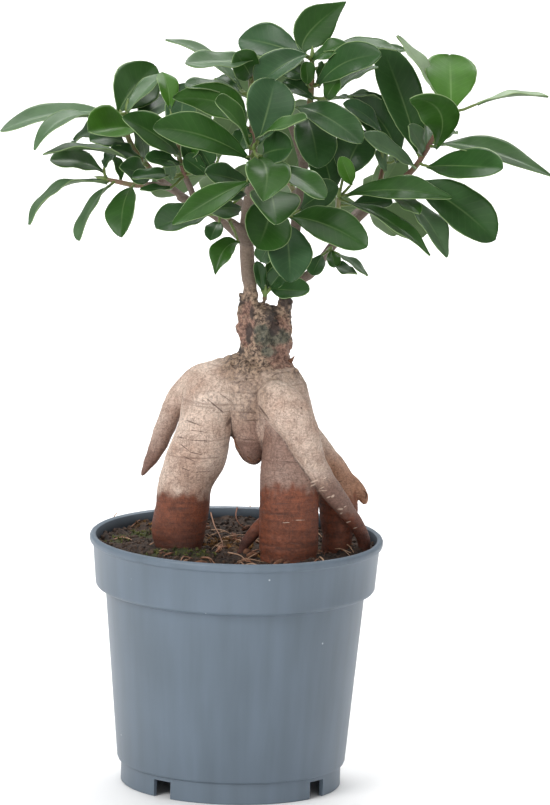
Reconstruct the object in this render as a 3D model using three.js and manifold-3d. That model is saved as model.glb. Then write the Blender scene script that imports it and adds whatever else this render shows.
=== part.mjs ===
// A ficus ginseng bonsai in its nursery pot, in millimetres, +Z up.
// The origin lies on the surface that the pot stands on, under the middle of the whole plant.
import * as THREE from "three";
import { mergeVertices } from "three/addons/utils/BufferGeometryUtils.js";
import Module from "manifold-3d";

const wasm = await Module();
wasm.setup();

// The pot: a 12 cm nursery pot with a collar, a rounded lip and a notched foot ring.
const POT_HEIGHT = 103;
const RIM_RADIUS = 60;
const LIP_HEIGHT = 4;
const COLLAR_HEIGHT = 21;
const COLLAR_RADIUS_TOP = 58.6;
const COLLAR_RADIUS_LOW = 57.2;
const BODY_RADIUS_TOP = 53;
const BODY_RADIUS_LOW = 46.7;
const FOOT_RADIUS = 45;
const FOOT_HEIGHT = 9;
const WALL = 1.8;
const POT_SIDES = 32;
const NOTCH_WIDTH = 8.5;
const NOTCH_COUNT = 4;
const NOTCH_FIRST_ANGLE = -38;
const NOTCH_REACH = 12;
const DRAIN_RADIUS = 4;
const DRAIN_CIRCLE = 27;
const LIP_REACH = 2.4;
const STEP_DEPTH = 2.5;
const COLLAR_LOW = POT_HEIGHT - COLLAR_HEIGHT;
const FLOOR_UNDER = FOOT_HEIGHT - 1;
const FLOOR_TOP = FLOOR_UNDER + WALL;

// The soil stands a little below the rim, highest at the left front.
const SOIL_LEVEL = 97.5;
const SOIL_RELIEF = 1.1;

// The clearance between neighbouring pieces.
const GAP = 0.35;

// The pot's axis stands left of the middle of the crown.
const AXIS_X = -12;

// The plant's points are written as they show from the front, where the eye looks down by
// VIEW_DOWN degrees with its head turned by VIEW_ROLL degrees: millimetres to the right of the
// middle of the pot's foot, millimetres above it, and the depth behind the pot's axis.
const VIEW_DOWN = THREE.MathUtils.degToRad(11);
const VIEW_ROLL = THREE.MathUtils.degToRad(1.5);
const DEPTH_AXIS = new THREE.Vector3(0, 1, 0);
const TO_EYE = new THREE.Vector3(0, -Math.cos(VIEW_DOWN), Math.sin(VIEW_DOWN));

function seen(across, up, depth) {
  const x = across * Math.cos(VIEW_ROLL) - up * Math.sin(VIEW_ROLL);
  const rise = across * Math.sin(VIEW_ROLL) + up * Math.cos(VIEW_ROLL);
  const z = (rise - depth * Math.sin(VIEW_DOWN)) / Math.cos(VIEW_DOWN);
  return new THREE.Vector3(AXIS_X + x, depth, z);
}

// Each limb of the rootstock and each woody branch is a row of sections along its middle:
// across, up, depth, half width across, half width in depth.
const ROOTSTOCK = {
  torso: [
    [13, 171, 1, 8, 8], [12, 165, 1, 14, 12], [13, 158, 1, 17.5, 13.5],
    [15.5, 151, 0, 18, 13.5], [20.5, 144, 0, 15, 12], [26, 138, 2, 9, 9],
  ],
  leg_left: [
    [6, 166.5, 0, 8, 9], [-1, 162.5, -2, 10.5, 10], [-8, 155, -4, 11, 11], [-10.6, 144, -6, 11, 11.5],
    [-13, 135, -7, 12, 11.5], [-15.5, 129.5, -7, 11.6, 11], [-18, 123, -7, 10.9, 10.5],
    [-19.6, 112, -7, 11, 10.5], [-21, 103, -7, 11, 10.5], [-20.4, 97, -7, 8.7, 9],
    [-19, 91, -6, 6, 7], [-18, 80, -5, 3, 3.5],
  ],
  leg_middle: [
    [19.6, 162, -2, 9, 9], [22, 152, -7, 9, 9], [22, 142, -11, 8, 9], [23.3, 132, -14, 10.5, 10],
    [24, 119.5, -17, 11.9, 11], [24, 105, -19, 12, 11], [23.7, 93, -19, 11.5, 11],
    [23.3, 81, -19, 8, 8], [23, 72, -19, 3, 3],
  ],
  leg_right: [
    [22, 146, 3, 9, 8], [28.6, 140, 4, 9, 8.5], [35, 133.4, 5, 8, 8], [40.8, 126, 6, 7.8, 7.6],
    [43.7, 118, 5, 8.2, 7.4], [44.3, 109, 3, 7.6, 7], [44, 101, 1, 6.2, 6.2],
    [42.8, 92.6, 0, 5.8, 5.8], [42.4, 83, 0, 4, 4], [42.4, 77, 0, 2, 2],
  ],
  cut_root: [
    [47, 124.5, 5, 3, 3], [51.5, 121, 5, 2.7, 2.7], [54, 117.5, 5, 2.4, 2.4], [54.9, 115, 5, 1.5, 1.5],
  ],
  root_front: [
    [15.5, 160, -13, 4, 4], [18.8, 156.5, -19, 8, 6.5], [23.7, 151.5, -22, 9, 7.5],
    [28.2, 144.5, -22, 7.8, 7], [31, 137.5, -22, 6.3, 6], [34.3, 130, -21, 5.3, 5.2],
    [38.8, 123, -19, 4.7, 4.6], [44, 115.5, -15, 4.1, 4], [49, 109, -10, 3.5, 3.5],
    [53, 103, -5, 3, 3], [54.8, 98, -2, 2.7, 2.7], [54.6, 91, 0, 2, 2],
  ],
  root_hanging: [
    [-5, 165.5, 2, 5.5, 6], [-11, 165.5, 3, 5.6, 6], [-16.3, 162, 5, 5.4, 5.5], [-22, 156, 6, 4.6, 4.8],
    [-25.7, 147.3, 6, 4.3, 4.4], [-29, 138.7, 6, 3.5, 3.6], [-32.4, 132, 5, 2.6, 2.6],
    [-34.7, 128, 5, 1.5, 1.5], [-35.8, 125.8, 5, 0.6, 0.6],
  ],
  knob: [
    [5.3, 162.5, -5, 9, 9], [6.5, 154, -6, 8.5, 8.5], [7.8, 144, -6, 6.7, 7.5],
    [8.2, 138.7, -6, 6.2, 7], [9.4, 134.6, -6, 4.5, 5], [10.2, 132.2, -6, 2, 2],
  ],
  neck: [
    [14.3, 162, 2, 11, 10], [14.3, 169, 2, 9.3, 9], [15.1, 176, 2, 9.8, 9], [14.7, 183, 2, 10.8, 9],
    [14.7, 189, 2, 9.8, 8.5], [15.3, 194, 2, 8, 7], [16.3, 196.3, 2, 5, 5],
  ],
  graft_left: [
    [7, 178, 0, 2.6, 3], [5.3, 183.6, 0, 3, 4], [6.5, 188, 0, 3, 3.5], [5.3, 193, 0, 2.8, 3],
    [4.9, 197, 0, 2.2, 2.2], [4.5, 198.7, 0, 1.2, 1.2],
  ],
  graft_right: [
    [22, 176.5, 0, 3.2, 4], [21.6, 183.6, 0, 4.2, 4.5], [21.8, 189.7, 1, 3.4, 3.6], [22, 196, 1, 2.8, 2.8],
  ],
  callus: [[12.2, 178, -3, 5, 4], [13, 185, -5, 5, 4.5], [13.5, 190, -5, 4.4, 4], [13.9, 193, -4, 2.6, 2.6]],
  bark_root: [
    [14.5, 108, -14, 2.2, 2], [10.5, 103, -13, 2.6, 2], [6.5, 98, -12, 2.2, 1.8], [4, 93, -11, 1.4, 1.2],
  ],
};

const WOOD = {
  stem_left: [
    [9, 184, 0, 3.5, 4], [8.6, 194, 0, 3.6, 3.6], [8.2, 201, 0, 3, 3], [7.3, 209, 0, 2.9, 2.9],
    [6.9, 217.5, 0, 3, 3], [6.5, 226, -1, 2.6, 2.6], [7.5, 236, -5, 2.3, 2.3], [9, 246, -9, 2.1, 2.1],
    [9.4, 255, -11, 1.8, 1.8], [9.4, 262, -11, 1.6, 1.6],
  ],
  stem_right: [
    [22, 188, 1, 3.2, 3.4], [22.6, 197, 2, 2.8, 2.8], [22.8, 204, 3, 2.6, 2.6], [25, 214, 6, 2.4, 2.4],
    [27, 228, 9, 2.2, 2.2], [29, 243, 10, 2, 2], [30.5, 257, 8, 1.8, 1.8], [32, 272, 4, 1.5, 1.5],
  ],
  bough_left: [
    [6.8, 221, -1, 2.8, 2.8], [-2, 228.6, -3, 2.1, 2.1], [-12, 235, -4, 1.8, 1.8], [-20, 238.5, -4, 1.6, 1.6],
  ],
  branch_left_high: [[-18, 238, -4, 1.5, 1.5], [-24, 242.5, -2, 1.4, 1.4], [-28.6, 246, 0, 1.3, 1.3]],
  branch_left_low: [[-23, 241.5, -3, 1.2, 1.2], [-29, 243.6, -4, 1.2, 1.2], [-35, 243.6, -4, 1.1, 1.1]],
  branch_left_inner: [[-14, 236, -4, 1.4, 1.4], [-15.5, 241, -8, 1.3, 1.3], [-18, 246.5, -12, 1.2, 1.2]],
  spur_left_hanging: [[6.5, 224, -1, 1.8, 1.8], [3, 227.5, -7, 1.3, 1.3], [0.5, 229, -11, 1.1, 1.1]],
  spur_centre: [[8, 241, -7, 1.6, 1.6], [9, 249, -19, 1.4, 1.4], [9.4, 252.5, -31, 1.2, 1.2]],
  spur_low_centre: [[24, 211, 5, 1.8, 1.8], [22.5, 221, -7, 1.5, 1.5], [22, 228, -20, 1.3, 1.3]],
  bough_right: [
    [22.8, 203, 3, 2.2, 2.2], [32, 207, 3, 2, 2], [37, 213, 4, 1.8, 1.8], [43, 220.5, 5, 1.8, 1.8],
    [50, 228, 5, 1.7, 1.7], [59, 236.5, 4, 1.6, 1.6], [67, 243.5, 2, 1.4, 1.4], [71.5, 247, 0, 1.3, 1.3],
  ],
  spur_right_front: [[43, 220.5, 5, 1.5, 1.5], [43.5, 227, -2, 1.2, 1.2], [43.8, 232, -8, 1.1, 1.1]],
  spur_right_inner: [[58, 235.5, 4, 1.4, 1.4], [60, 241.5, 9, 1.2, 1.2], [61.3, 246, 12, 1.1, 1.1]],
  spur_right_low: [[63, 240, 3, 1.2, 1.2], [66.5, 239.5, -1, 1.1, 1.1], [69, 239.8, -5, 1, 1]],
  spur_back_left: [[7, 233, -4, 1.8, 1.8], [1, 240, 8, 1.6, 1.6], [-4, 246, 18, 1.4, 1.4]],
  spur_back_centre: [[27, 230, 9, 1.8, 1.8], [27, 238, 20, 1.5, 1.5], [26.5, 241, 31, 1.3, 1.3]],
  spur_back_right: [[45, 223, 5, 1.6, 1.6], [50, 231, 17, 1.4, 1.4], [54, 235, 28, 1.3, 1.3]],
  spur_back_top: [[30, 252, 9, 1.6, 1.6], [27, 262, 16, 1.4, 1.4], [24, 270, 22, 1.2, 1.2]],
  spur_small: [[37, 213, 4, 1.4, 1.4], [39, 216, 0, 1.1, 1.1], [40, 217, -3, 1, 1]],
  spur_graft: [[14, 192, -1, 1.4, 1.4], [14, 196, -2, 1.2, 1.2], [14.2, 197.8, -2.6, 1, 1]],
};

// Each leafy shoot grows from the end of a branch: the rest of its twig, as sections, and its
// leaves. A leaf is the foot of its blade (across, up, depth), its tip (across, up, depth), its
// width, the turn of its face away from the eye in degrees, and how far it bows up at its middle.
// Some leaves also bend aside: to the right and upwards as they show from the front.
const SHOOTS = {
  shoot_left_low: {
    from: "branch_left_low",
    twig: [[-39, 243.5, -4, 1.1], [-46, 245, -3, 1], [-50.5, 246, -2, 0.8]],
    leaves: [
      [-49.8, 244.4, -4, -81.6, 227.3, -20, 9.5, 74, 8.2],
      [-48.6, 243.6, -6, -61.2, 220.7, -26, 9, 62, 3],
      [-39.6, 242.8, -8, -43.7, 222, -28, 14, -35, 4],
      [-44.5, 245.2, 0, -47.3, 255.4, 4, 5, 40, 1.5],
      [-51.4, 250.5, 3, -45.7, 257.9, 9, 7, 50, 1],
      [-51, 248.9, 4, -73, 253.4, -2, 16, 56, 3],
    ],
  },
  shoot_left_high: {
    from: "branch_left_high",
    twig: [
      [-32.6, 250.5, 2, 1.2], [-37, 256, 3, 1.1], [-41, 262, 4, 1.1], [-42, 269, 5, 1], [-41.8, 274, 6, 0.8],
    ],
    leaves: [
      [-49.4, 273, 3, -93.4, 265.6, 8, 14.5, 63, 4],
      [-50.6, 270.1, 0, -79.2, 257.4, -16, 13, 66, 8, -0.5, -0.4],
      [-40, 266.8, -1, -57.1, 264.8, -24, 17, 35, 3],
      [-48.1, 265.2, 8, -63.6, 261.9, 18, 12, 60, 3],
      [-41.6, 259.5, -1, -56.7, 261.1, -16, 12, 52, 3],
      [-39.2, 253.4, 0, -75.9, 255.8, -6, 11, 80, 4.5],
      [-45.3, 273.4, 6, -32.2, 291.3, 30, 20.5, -5, 3.5, -2.4, -1.2],
      [-41.6, 273.4, 3, -27.3, 289.3, 14, 12, 64, 1],
      [-37.5, 269.3, 7, -24.5, 278.3, 26, 15, 36, 3],
      [-33, 246, -8, -44.5, 250.5, -24, 12, 30, 2],
      [-34.7, 254.2, 0, -38.4, 267.2, -12, 9, 40, 2],
      [-35.9, 252.6, -2, -48.1, 258.3, -18, 8, 50, 2],
    ],
  },
  shoot_left_inner: {
    from: "branch_left_inner",
    twig: [[-19, 250, -13.5, 1.1], [-20.8, 256, -14, 1], [-20.6, 262, -14, 0.8]],
    leaves: [
      [-22, 247.2, -14, -39.2, 246, -30, 7, 50, 1.5],
      [-23.7, 241.9, -18, -36.3, 241.1, -30, 3.5, 40, 1],
      [-20.4, 258.3, -12, -18, 284.8, 2, 13.5, -12, 3],
      [-20.4, 255.4, -16, -43.2, 270.1, -34, 16, 42, 3.2],
      [-24.5, 273.8, -6, -27.3, 289.3, 6, 9, 20, 2, 0.5, 0],
      [-20, 251.7, -17, -33.9, 254.2, -30, 7.5, 30, 1.5],
      [-16.3, 253.8, -16, -12.6, 257.9, -22, 5, 40, 1],
      [-23.7, 245.6, -17, -24.5, 253, -24, 5, 10, 1],
      [-9.8, 247.7, -20, -18.8, 254.2, -23, 9, 20, 1.2],
      [-13.9, 250.9, -16, -19.2, 259.9, -21, 6.5, 20, 1],
      [-6.9, 249.3, -18, -12.6, 258.7, -19, 9, 20, 1],
    ],
  },
  shoot_left_hanging: {
    from: "spur_left_hanging",
    twig: [[-2, 230.5, -16, 1], [-5, 231.5, -21, 0.9]],
    leaves: [
      [-8.2, 231.3, -22, -29.8, 225.6, -36, 15.5, 45, 3],
      [4.5, 233.4, -21, -9.8, 232.6, -40, 12, 35, 2],
      [-4.1, 228.1, -24, -7.8, 220.7, -34, 7.5, 20, 1.5],
      [4.1, 220.3, -22, -5.7, 206.9, -30, 10, 20, 2, -1.5, 2.6],
      [7.8, 243.2, -24, -9.8, 247.7, -44, 11, 30, 2],
      [6.5, 239.5, -26, -2, 237.5, -38, 4.5, 20, 1],
    ],
  },
  shoot_centre_front: {
    from: "spur_centre",
    twig: [[9.5, 254, -36, 1.1], [9.6, 256, -41, 1], [9.8, 257.5, -44, 0.8]],
    leaves: [
      [11, 253.4, -48, 13.5, 235.8, -76, 19, 18, 5, 2, 0],
      [18.4, 249.3, -46, 38.4, 237, -64, 12, 42, 3],
      [8.2, 244.4, -50, -22.8, 226.4, -72, 12, 25, 3],
      [8.2, 253, -45, -30.6, 265.2, -62, 16.5, 30, 4, -1, 2.2],
      [7.8, 257.4, -45, -7.3, 275.4, -54, 13, 60, 4, -1, 2.5],
      [11.4, 259.5, -41, 18.4, 285.2, -25, 20.5, 8, 3],
      [11, 261.1, -46, 31.8, 267.6, -66, 12, 66, 2.6],
      [13.1, 254.2, -42, 25.3, 257.4, -56, 15, 30, 3],
    ],
  },
  shoot_upper_left: {
    from: "stem_left",
    twig: [[9.3, 268, -10, 1.4], [9, 279, -7, 1.2], [8.6, 287, -5, 1.1], [9.5, 290.5, -5, 0.9]],
    leaves: [
      [6.5, 263.2, -16, -23.7, 277.4, -26, 16, 35, 3, 5.2, 4.5],
      [5.3, 280.3, -8, -18, 283.2, -24, 10, 64, 1.5],
      [8.6, 286.8, -6, 2.4, 296.6, -16, 13, 20, 2],
      [5.7, 280.7, -4, -26.1, 302.7, 6, 10, 66, 1.5, 1.2, 2.6],
      [4.1, 280.7, -8, -6.1, 286.8, 4, 6, 50, 2],
      [11.4, 294.2, -8, -17.5, 292.9, -26, 12, 55, 1, 0, -0.8],
      [7.3, 267.2, -9, 3.3, 257.4, -14, 9, 10, 1],
    ],
  },
  shoot_top: {
    from: "stem_right",
    twig: [[32.8, 279, 3, 1.3], [33.4, 288, 2, 1.1], [33.5, 295, 2, 0.9]],
    leaves: [
      [29.8, 296.6, 4, 47.3, 318.6, 26, 16, -5, 3, -7, -2.5],
      [30.6, 295.8, 3, 4.1, 303.6, 16, 16.5, 25, 3],
      [31.8, 296.2, -1, 11, 283.6, -14, 15, 40, 4],
      [31.4, 284, -3, 30.6, 293.4, -6, 7, 30, 1],
      [35.5, 284.4, 2, 37.5, 293.8, 6, 5, 30, 1],
      [35.1, 296.2, 2, 67.7, 297.8, -8, 15, 70, 3.4],
      [40.8, 294.2, 14, 71.8, 298.7, 27, 11, 60, 2.5],
      [33.9, 278.3, 0, 22, 285.6, 10, 9, 30, 2],
      [35.9, 283.2, 0, 61.2, 295.8, -20, 14, 30, 3, -1, 2.5],
      [40.8, 279.1, 3, 60.4, 291.7, 5, 11, 64, 2, -0.5, 0.4],
      [39.2, 278.3, -1, 44.5, 286.8, -8, 8, 25, 1.5],
      [26.5, 275, -2, 53.4, 259.9, -28, 14.5, 36, 5],
      [30.6, 272.1, 0, 35.9, 250.1, -22, 18, 20, 4],
      [32.2, 286.8, 6, 22, 290.9, 12, 8, 20, 1.5],
      [35.9, 277.4, 2, 50.2, 279.1, 8, 5, 72, 1],
      [33.5, 293.8, 0, 47.3, 300.7, -4, 9, 40, 1.5],
    ],
  },
  shoot_low_centre: {
    from: "spur_low_centre",
    twig: [[21.8, 230.5, -25, 1.1], [21.6, 232, -30, 0.9]],
    leaves: [
      [16.3, 235, -32, 11.4, 217.1, -52, 21, 20, 4],
      [15.1, 241.1, -34, 18.8, 226.8, -62, 21, 24, 4],
      [22, 228.1, -32, 24.5, 203.6, -48, 19, 14, 4],
      [24.5, 230.1, -32, 55.5, 217.9, -46, 16, 24, 3, -0.5, 1.8],
      [28.6, 233, -22, 44.1, 241.9, -30, 13, 30, 3],
      [19.2, 224, -24, 12.6, 212.2, -20, 9, 20, 1.5],
    ],
  },
  shoot_right_front: {
    from: "spur_right_front",
    twig: [[44, 235, -13, 1.1], [44.2, 239, -17, 0.9]],
    leaves: [
      [46.9, 239.1, -18, 89.8, 237.9, -28, 14, 44, 4.6],
      [46.5, 236.6, -19, 81.2, 214.6, -34, 12, 56, 4],
      [49.4, 243.2, -18, 44.9, 254.6, -26, 7, 10, 1],
      [45.7, 246, -12, 54.7, 265.6, -6, 17, 10, 3],
      [42, 239.9, -10, 36.7, 259.1, 0, 15, 10, 3],
      [49, 235.4, -14, 66.1, 236.6, -16, 8, 30, 1],
    ],
  },
  shoot_right_low: {
    from: "spur_right_low",
    twig: [[70, 240, -7.5, 1], [71.5, 240.5, -10.5, 0.8]],
    leaves: [
      [73.8, 245.2, -10, 107.7, 221.1, -16, 19.5, 24, 4, 0.5, 0.7],
      [71, 237.9, -12, 87.7, 213.8, -26, 13.5, 44, 3, 0.7, 0.4],
      [66.9, 237.9, -12, 76.7, 231.3, -30, 8, 40, 2],
    ],
  },
  shoot_right_high: {
    from: "bough_right",
    twig: [
      [75, 250.5, -1.5, 1.2], [78.5, 255.5, -3, 1.1], [81.5, 260.5, -4, 1.1], [85, 266.5, -5, 1],
      [88, 272.5, -6, 0.8],
    ],
    leaves: [
      [77.1, 255, 1, 62, 300.3, 14, 17.5, 18, 3, 0.3, -0.3],
      [75.5, 250.5, -4, 53.9, 262.8, -22, 13, 60, 1.5],
      [77.9, 255.4, -3, 72.2, 267.2, -16, 9, 50, 2],
      [86.1, 275.8, -4, 67.7, 304, 6, 11, 66, 2, 0.6, -0.6],
      [89.8, 272.5, -8, 89.4, 296.6, 14, 21.5, 4, 3],
      [83.2, 258.3, -7, 72.2, 279.5, -26, 16, -8, 3, 7.1, 4.9],
      [80, 257.4, 0, 80, 268.1, 12, 7, 30, 1],
      [86.9, 262.3, -2, 91.8, 265.2, 12, 5, 50, 1],
      [100.4, 276.2, -6, 129.3, 279.1, -2, 9, 80, 2.8],
      [84.9, 259.9, -6, 130.2, 246.8, -16, 17, 56, 5.5, -3.4, 0],
      [80, 250.9, -6, 110.2, 249.7, -36, 16.5, 36, 2],
    ],
  },
  shoot_right_inner: {
    from: "spur_right_inner",
    twig: [[62, 249, 13.5, 1], [63, 253, 14.5, 0.8]],
    leaves: [
      [68.1, 253, 13, 49.8, 279.5, 9, 16, 20, 3, 3, 1.5],
      [61.2, 265.2, 6, 46.1, 276.6, -6, 9, 40, 3],
      [64.5, 277, 14, 47.7, 279.5, 4, 6, 72, 2.5],
      [63.2, 249.3, 13, 60, 258.3, 11, 5, 30, 0.5],
    ],
  },
  shoot_branch_small: {
    from: "spur_small",
    twig: [[40.5, 217.5, -5.5, 0.9]],
    leaves: [
      [43.7, 215.8, -7, 55.9, 206.4, -16, 6, 60, 1],
      [43.2, 213.4, -8, 51.8, 207.3, -22, 5.5, 30, 1, -1, -1.5],
      [41.2, 216.6, -7, 42.8, 210.1, -14, 6, 10, 0.5],
      [37.5, 215, -8, 33.5, 206.9, -14, 8, 20, 1],
    ],
  },
  shoot_graft: {
    from: "spur_graft",
    twig: [[14.3, 199, -3.2, 0.9]],
    leaves: [
      [16.3, 201.6, -5, 32.2, 200.7, -22, 10, 35, 1, 0, -0.6],
      [13.1, 200.7, -4, 11, 212.6, -8, 5.5, 20, 1],
      [14.7, 201.1, -2, 16.3, 212.6, 2, 5, 20, 1],
      [16.3, 202, -4, 22, 209.3, -8, 9, 20, 1],
    ],
  },
};

// The shoots at the back carry their leaves by a rule: each leaf a golden angle round the twig
// from the last, opening wide at the foot of the twig and closing towards its line at the end.
const BACK_SHOOTS = {
  shoot_back_left: { from: "spur_back_left", reach: [-6, 14, 26], leaves: 7, turn: 160 },
  shoot_back_centre: { from: "spur_back_centre", reach: [-4, 7, 24], leaves: 6, turn: 260 },
  shoot_back_right: { from: "spur_back_right", reach: [4, 2, 12], leaves: 5, turn: 20 },
  shoot_back_top: { from: "spur_back_top", reach: [-6, 13, 14], leaves: 6, turn: 280 },
};
const GOLDEN_ANGLE = THREE.MathUtils.degToRad(137.5);
const BACK_LEAF_LENGTH = 25;
const BACK_LEAF_WIDTH = 15.5;
const BACK_LEAF_BOW = 3;
const BACK_PETIOLE = 4;

// How many flats stand round a root or trunk limb, and round a twig.
const ROOT_SIDES = 8;
const TWIG_SIDES = 5;

// A leaf's outline: how far along the blade each row of points stands, with its half width as a
// share of the widest. A narrower leaf has fewer rows.
const BLADE_ROWS = [[0, 0.09], [0.3, 0.78], [0.6, 1], [0.88, 0.66]];
const SMALL_BLADE = 17;
const SMALL_BLADE_ROWS = [[0, 0.09], [0.35, 0.9], [0.75, 0.8]];
const TINY_BLADE = 9.5;
const TINY_BLADE_ROWS = [[0, 0.09], [0.55, 1]];
const BLADE_THICKNESS = 0.7;
const BLADE_FOLD = 0.22;
const BLADE_WAVE = 0.03;
const PETIOLE_WIDTH = 1.3;
const PETIOLE_THICKNESS = 1;
const WHORL_STEP = 0.9;
// The lowest stalk of a twig starts at least this far along it.
const STALK_START = 1.2;

function solidOf(geometry) {
  const bare = new THREE.BufferGeometry();
  bare.setAttribute("position", geometry.getAttribute("position").clone());
  bare.setIndex(geometry.getIndex().clone());
  const merged = mergeVertices(bare, 1e-4);
  const vertProperties = new Float32Array(merged.getAttribute("position").array);
  const triVerts = new Uint32Array(merged.getIndex().array);
  return new wasm.Manifold(new wasm.Mesh({ numProp: 3, vertProperties, triVerts }));
}

function joined(solids) {
  return solids.reduce((whole, solid) => whole.add(solid));
}

function meshOf(name, solid, material) {
  const result = solid.getMesh();
  const geometry = new THREE.BufferGeometry();
  geometry.setAttribute("position", new THREE.BufferAttribute(result.vertProperties, 3));
  geometry.setIndex(new THREE.BufferAttribute(result.triVerts, 1));
  geometry.computeVertexNormals();
  const mesh = new THREE.Mesh(geometry, material);
  mesh.name = name;
  return mesh;
}

// A limb is a closed tube whose oval sections follow a smooth line through its rows. Its first
// section's width lies across the view, and the others follow it round without twisting.
function limb(rows, sides, stepsPerRow, swell = 0) {
  const path = new THREE.CatmullRomCurve3(rows.map(([a, u, d]) => seen(a, u, d)), false, "catmullrom");
  const size = new THREE.CatmullRomCurve3(
    rows.map(([, , , wide, deep = wide]) => new THREE.Vector3(wide, deep, 0)), false, "catmullrom",
  );
  const steps = (rows.length - 1) * stepsPerRow;
  const tube = new THREE.CylinderGeometry(1, 1, 1, sides, steps);
  const frames = [];
  let side = null;
  for (let i = 0; i <= steps; i += 1) {
    const along = path.getTangent(i / steps);
    const start = new THREE.Vector3().crossVectors(DEPTH_AXIS, along);
    if (side === null) side = start.length() > 0.2 ? start : new THREE.Vector3(1, 0, 0);
    side = side.clone().addScaledVector(along, -side.dot(along)).normalize();
    const place = path.getPoint(i / steps);
    if (i === 0) place.addScaledVector(along, -swell);
    if (i === steps) place.addScaledVector(along, swell);
    const deepSide = new THREE.Vector3().crossVectors(side, along);
    frames.push({ place, side, deepSide, size: size.getPoint(i / steps) });
  }
  const position = tube.getAttribute("position");
  for (let i = 0; i < position.count; i += 1) {
    const frame = frames[Math.round((position.getY(i) + 0.5) * steps)];
    const point = frame.place.clone();
    point.addScaledVector(frame.side, position.getX(i) * (frame.size.x + swell));
    point.addScaledVector(frame.deepSide, position.getZ(i) * (frame.size.y + swell));
    position.setXYZ(i, point.x, point.y, point.z);
  }
  return solidOf(tube);
}

// A leaf is one thin closed blade on a flat stalk that starts inside the twig. The blade bows,
// folds up a little along its midrib and tapers to its tip, with its edges gently waved. Each
// section has six points: left edge, midrib and right edge on the upper side, then on the lower.
function leaf(root, foot, tip, face, width, bow, aside = new THREE.Vector3()) {
  const chord = new THREE.Vector3().subVectors(tip, foot).normalize();
  const up = face.clone().addScaledVector(chord, -face.dot(chord)).normalize();
  const crown = foot.clone().add(tip).multiplyScalar(0.5).addScaledVector(up, 2 * bow);
  crown.addScaledVector(aside, 2);
  const midrib = new THREE.QuadraticBezierCurve3(foot, crown, tip);
  const points = [];
  const addSection = (centre, sideways, normal, half, lift, thickness) => {
    for (const lid of [1, -1]) {
      for (const edge of [-1, 0, 1]) {
        const point = centre.clone().addScaledVector(sideways, edge * half);
        point.addScaledVector(normal, (Math.abs(edge) - 0.5) * lift + lid * thickness / 2);
        points.push(point);
      }
    }
  };
  const framed = (share) => {
    const along = midrib.getTangent(share);
    const normal = up.clone().addScaledVector(along, -up.dot(along)).normalize();
    return { along, normal, sideways: new THREE.Vector3().crossVectors(normal, along) };
  };
  const stalk = new THREE.Vector3().subVectors(foot, root).normalize();
  const start = framed(0);
  const across = new THREE.Vector3().crossVectors(start.normal, stalk);
  if (across.length() < 0.3) across.copy(start.sideways);
  across.normalize();
  const over = new THREE.Vector3().crossVectors(stalk, across);
  addSection(root, across, over, PETIOLE_WIDTH / 2, 0, PETIOLE_THICKNESS);
  const narrow = width > TINY_BLADE ? SMALL_BLADE_ROWS : TINY_BLADE_ROWS;
  const rows = width > SMALL_BLADE ? BLADE_ROWS : narrow;
  rows.forEach(([share, fullness], row) => {
    const { normal, sideways } = framed(share);
    const half = Math.max(fullness * width / 2, PETIOLE_WIDTH / 2);
    const wave = row % 2 === 0 ? BLADE_WAVE : -BLADE_WAVE;
    addSection(midrib.getPoint(share), sideways, normal, half, half * (BLADE_FOLD + wave), BLADE_THICKNESS);
  });
  const end = framed(1);
  points.push(tip.clone().addScaledVector(end.normal, BLADE_THICKNESS / 2));
  points.push(tip.clone().addScaledVector(end.normal, -BLADE_THICKNESS / 2));
  const faces = [0, 1, 3, 3, 1, 4, 1, 2, 4, 4, 2, 5];
  const last = rows.length;
  for (let row = 0; row < last; row += 1) {
    const a = row * 6;
    const b = a + 6;
    for (const k of [0, 1]) {
      faces.push(a + k, b + k, a + k + 1, a + k + 1, b + k, b + k + 1);
      faces.push(a + k + 3, a + k + 4, b + k + 3, a + k + 4, b + k + 4, b + k + 3);
    }
    faces.push(a, a + 3, b, a + 3, b + 3, b);
    faces.push(a + 2, b + 2, a + 5, a + 5, b + 2, b + 5);
  }
  const z = last * 6;
  const top = z + 6;
  const under = z + 7;
  faces.push(z, top, z + 1, z + 1, top, z + 2, z + 3, z + 4, under, z + 4, z + 5, under);
  faces.push(z, z + 3, top, z + 3, under, top, z + 2, top, z + 5, z + 5, top, under);
  const geometry = new THREE.BufferGeometry();
  geometry.setAttribute("position", new THREE.Float32BufferAttribute(points.flatMap((p) => p.toArray()), 3));
  geometry.setIndex(faces);
  return solidOf(geometry);
}

// The direction that a blade's upper side faces: towards the eye at no turn, and turned from
// there towards the sky, or to the right where the leaf itself stands up or hangs down.
function faceOf(foot, tip, turn) {
  const chord = new THREE.Vector3().subVectors(tip, foot).normalize();
  const open = TO_EYE.clone().addScaledVector(chord, -TO_EYE.dot(chord)).normalize();
  const edge = new THREE.Vector3().crossVectors(open, chord);
  const lean = Math.abs(edge.z) > 0.3 ? edge.z : edge.x;
  if (lean < 0) edge.negate();
  const angle = THREE.MathUtils.degToRad(turn);
  return open.multiplyScalar(Math.cos(angle)).addScaledVector(edge, Math.sin(angle));
}

// The point of a twig where a leaf's stalk starts: the nearest to its foot, moved a little down
// the twig by the leaf's order, because the leaves of a whorl stand just above one another.
function stalkRoot(twig, foot, order) {
  let best = null;
  for (let i = 0; i + 1 < twig.length; i += 1) {
    const line = new THREE.Line3(twig[i], twig[i + 1]);
    const share = line.closestPointToPointParameter(foot, true);
    const least = i === 0 ? STALK_START / line.distance() : 0;
    const moved = Math.max(share - (order % 4) * WHORL_STEP / line.distance(), least);
    const reach = line.at(share, new THREE.Vector3()).distanceTo(foot);
    if (best === null || reach < best.reach) best = { reach, point: line.at(moved, new THREE.Vector3()) };
  }
  return best.point;
}

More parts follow.
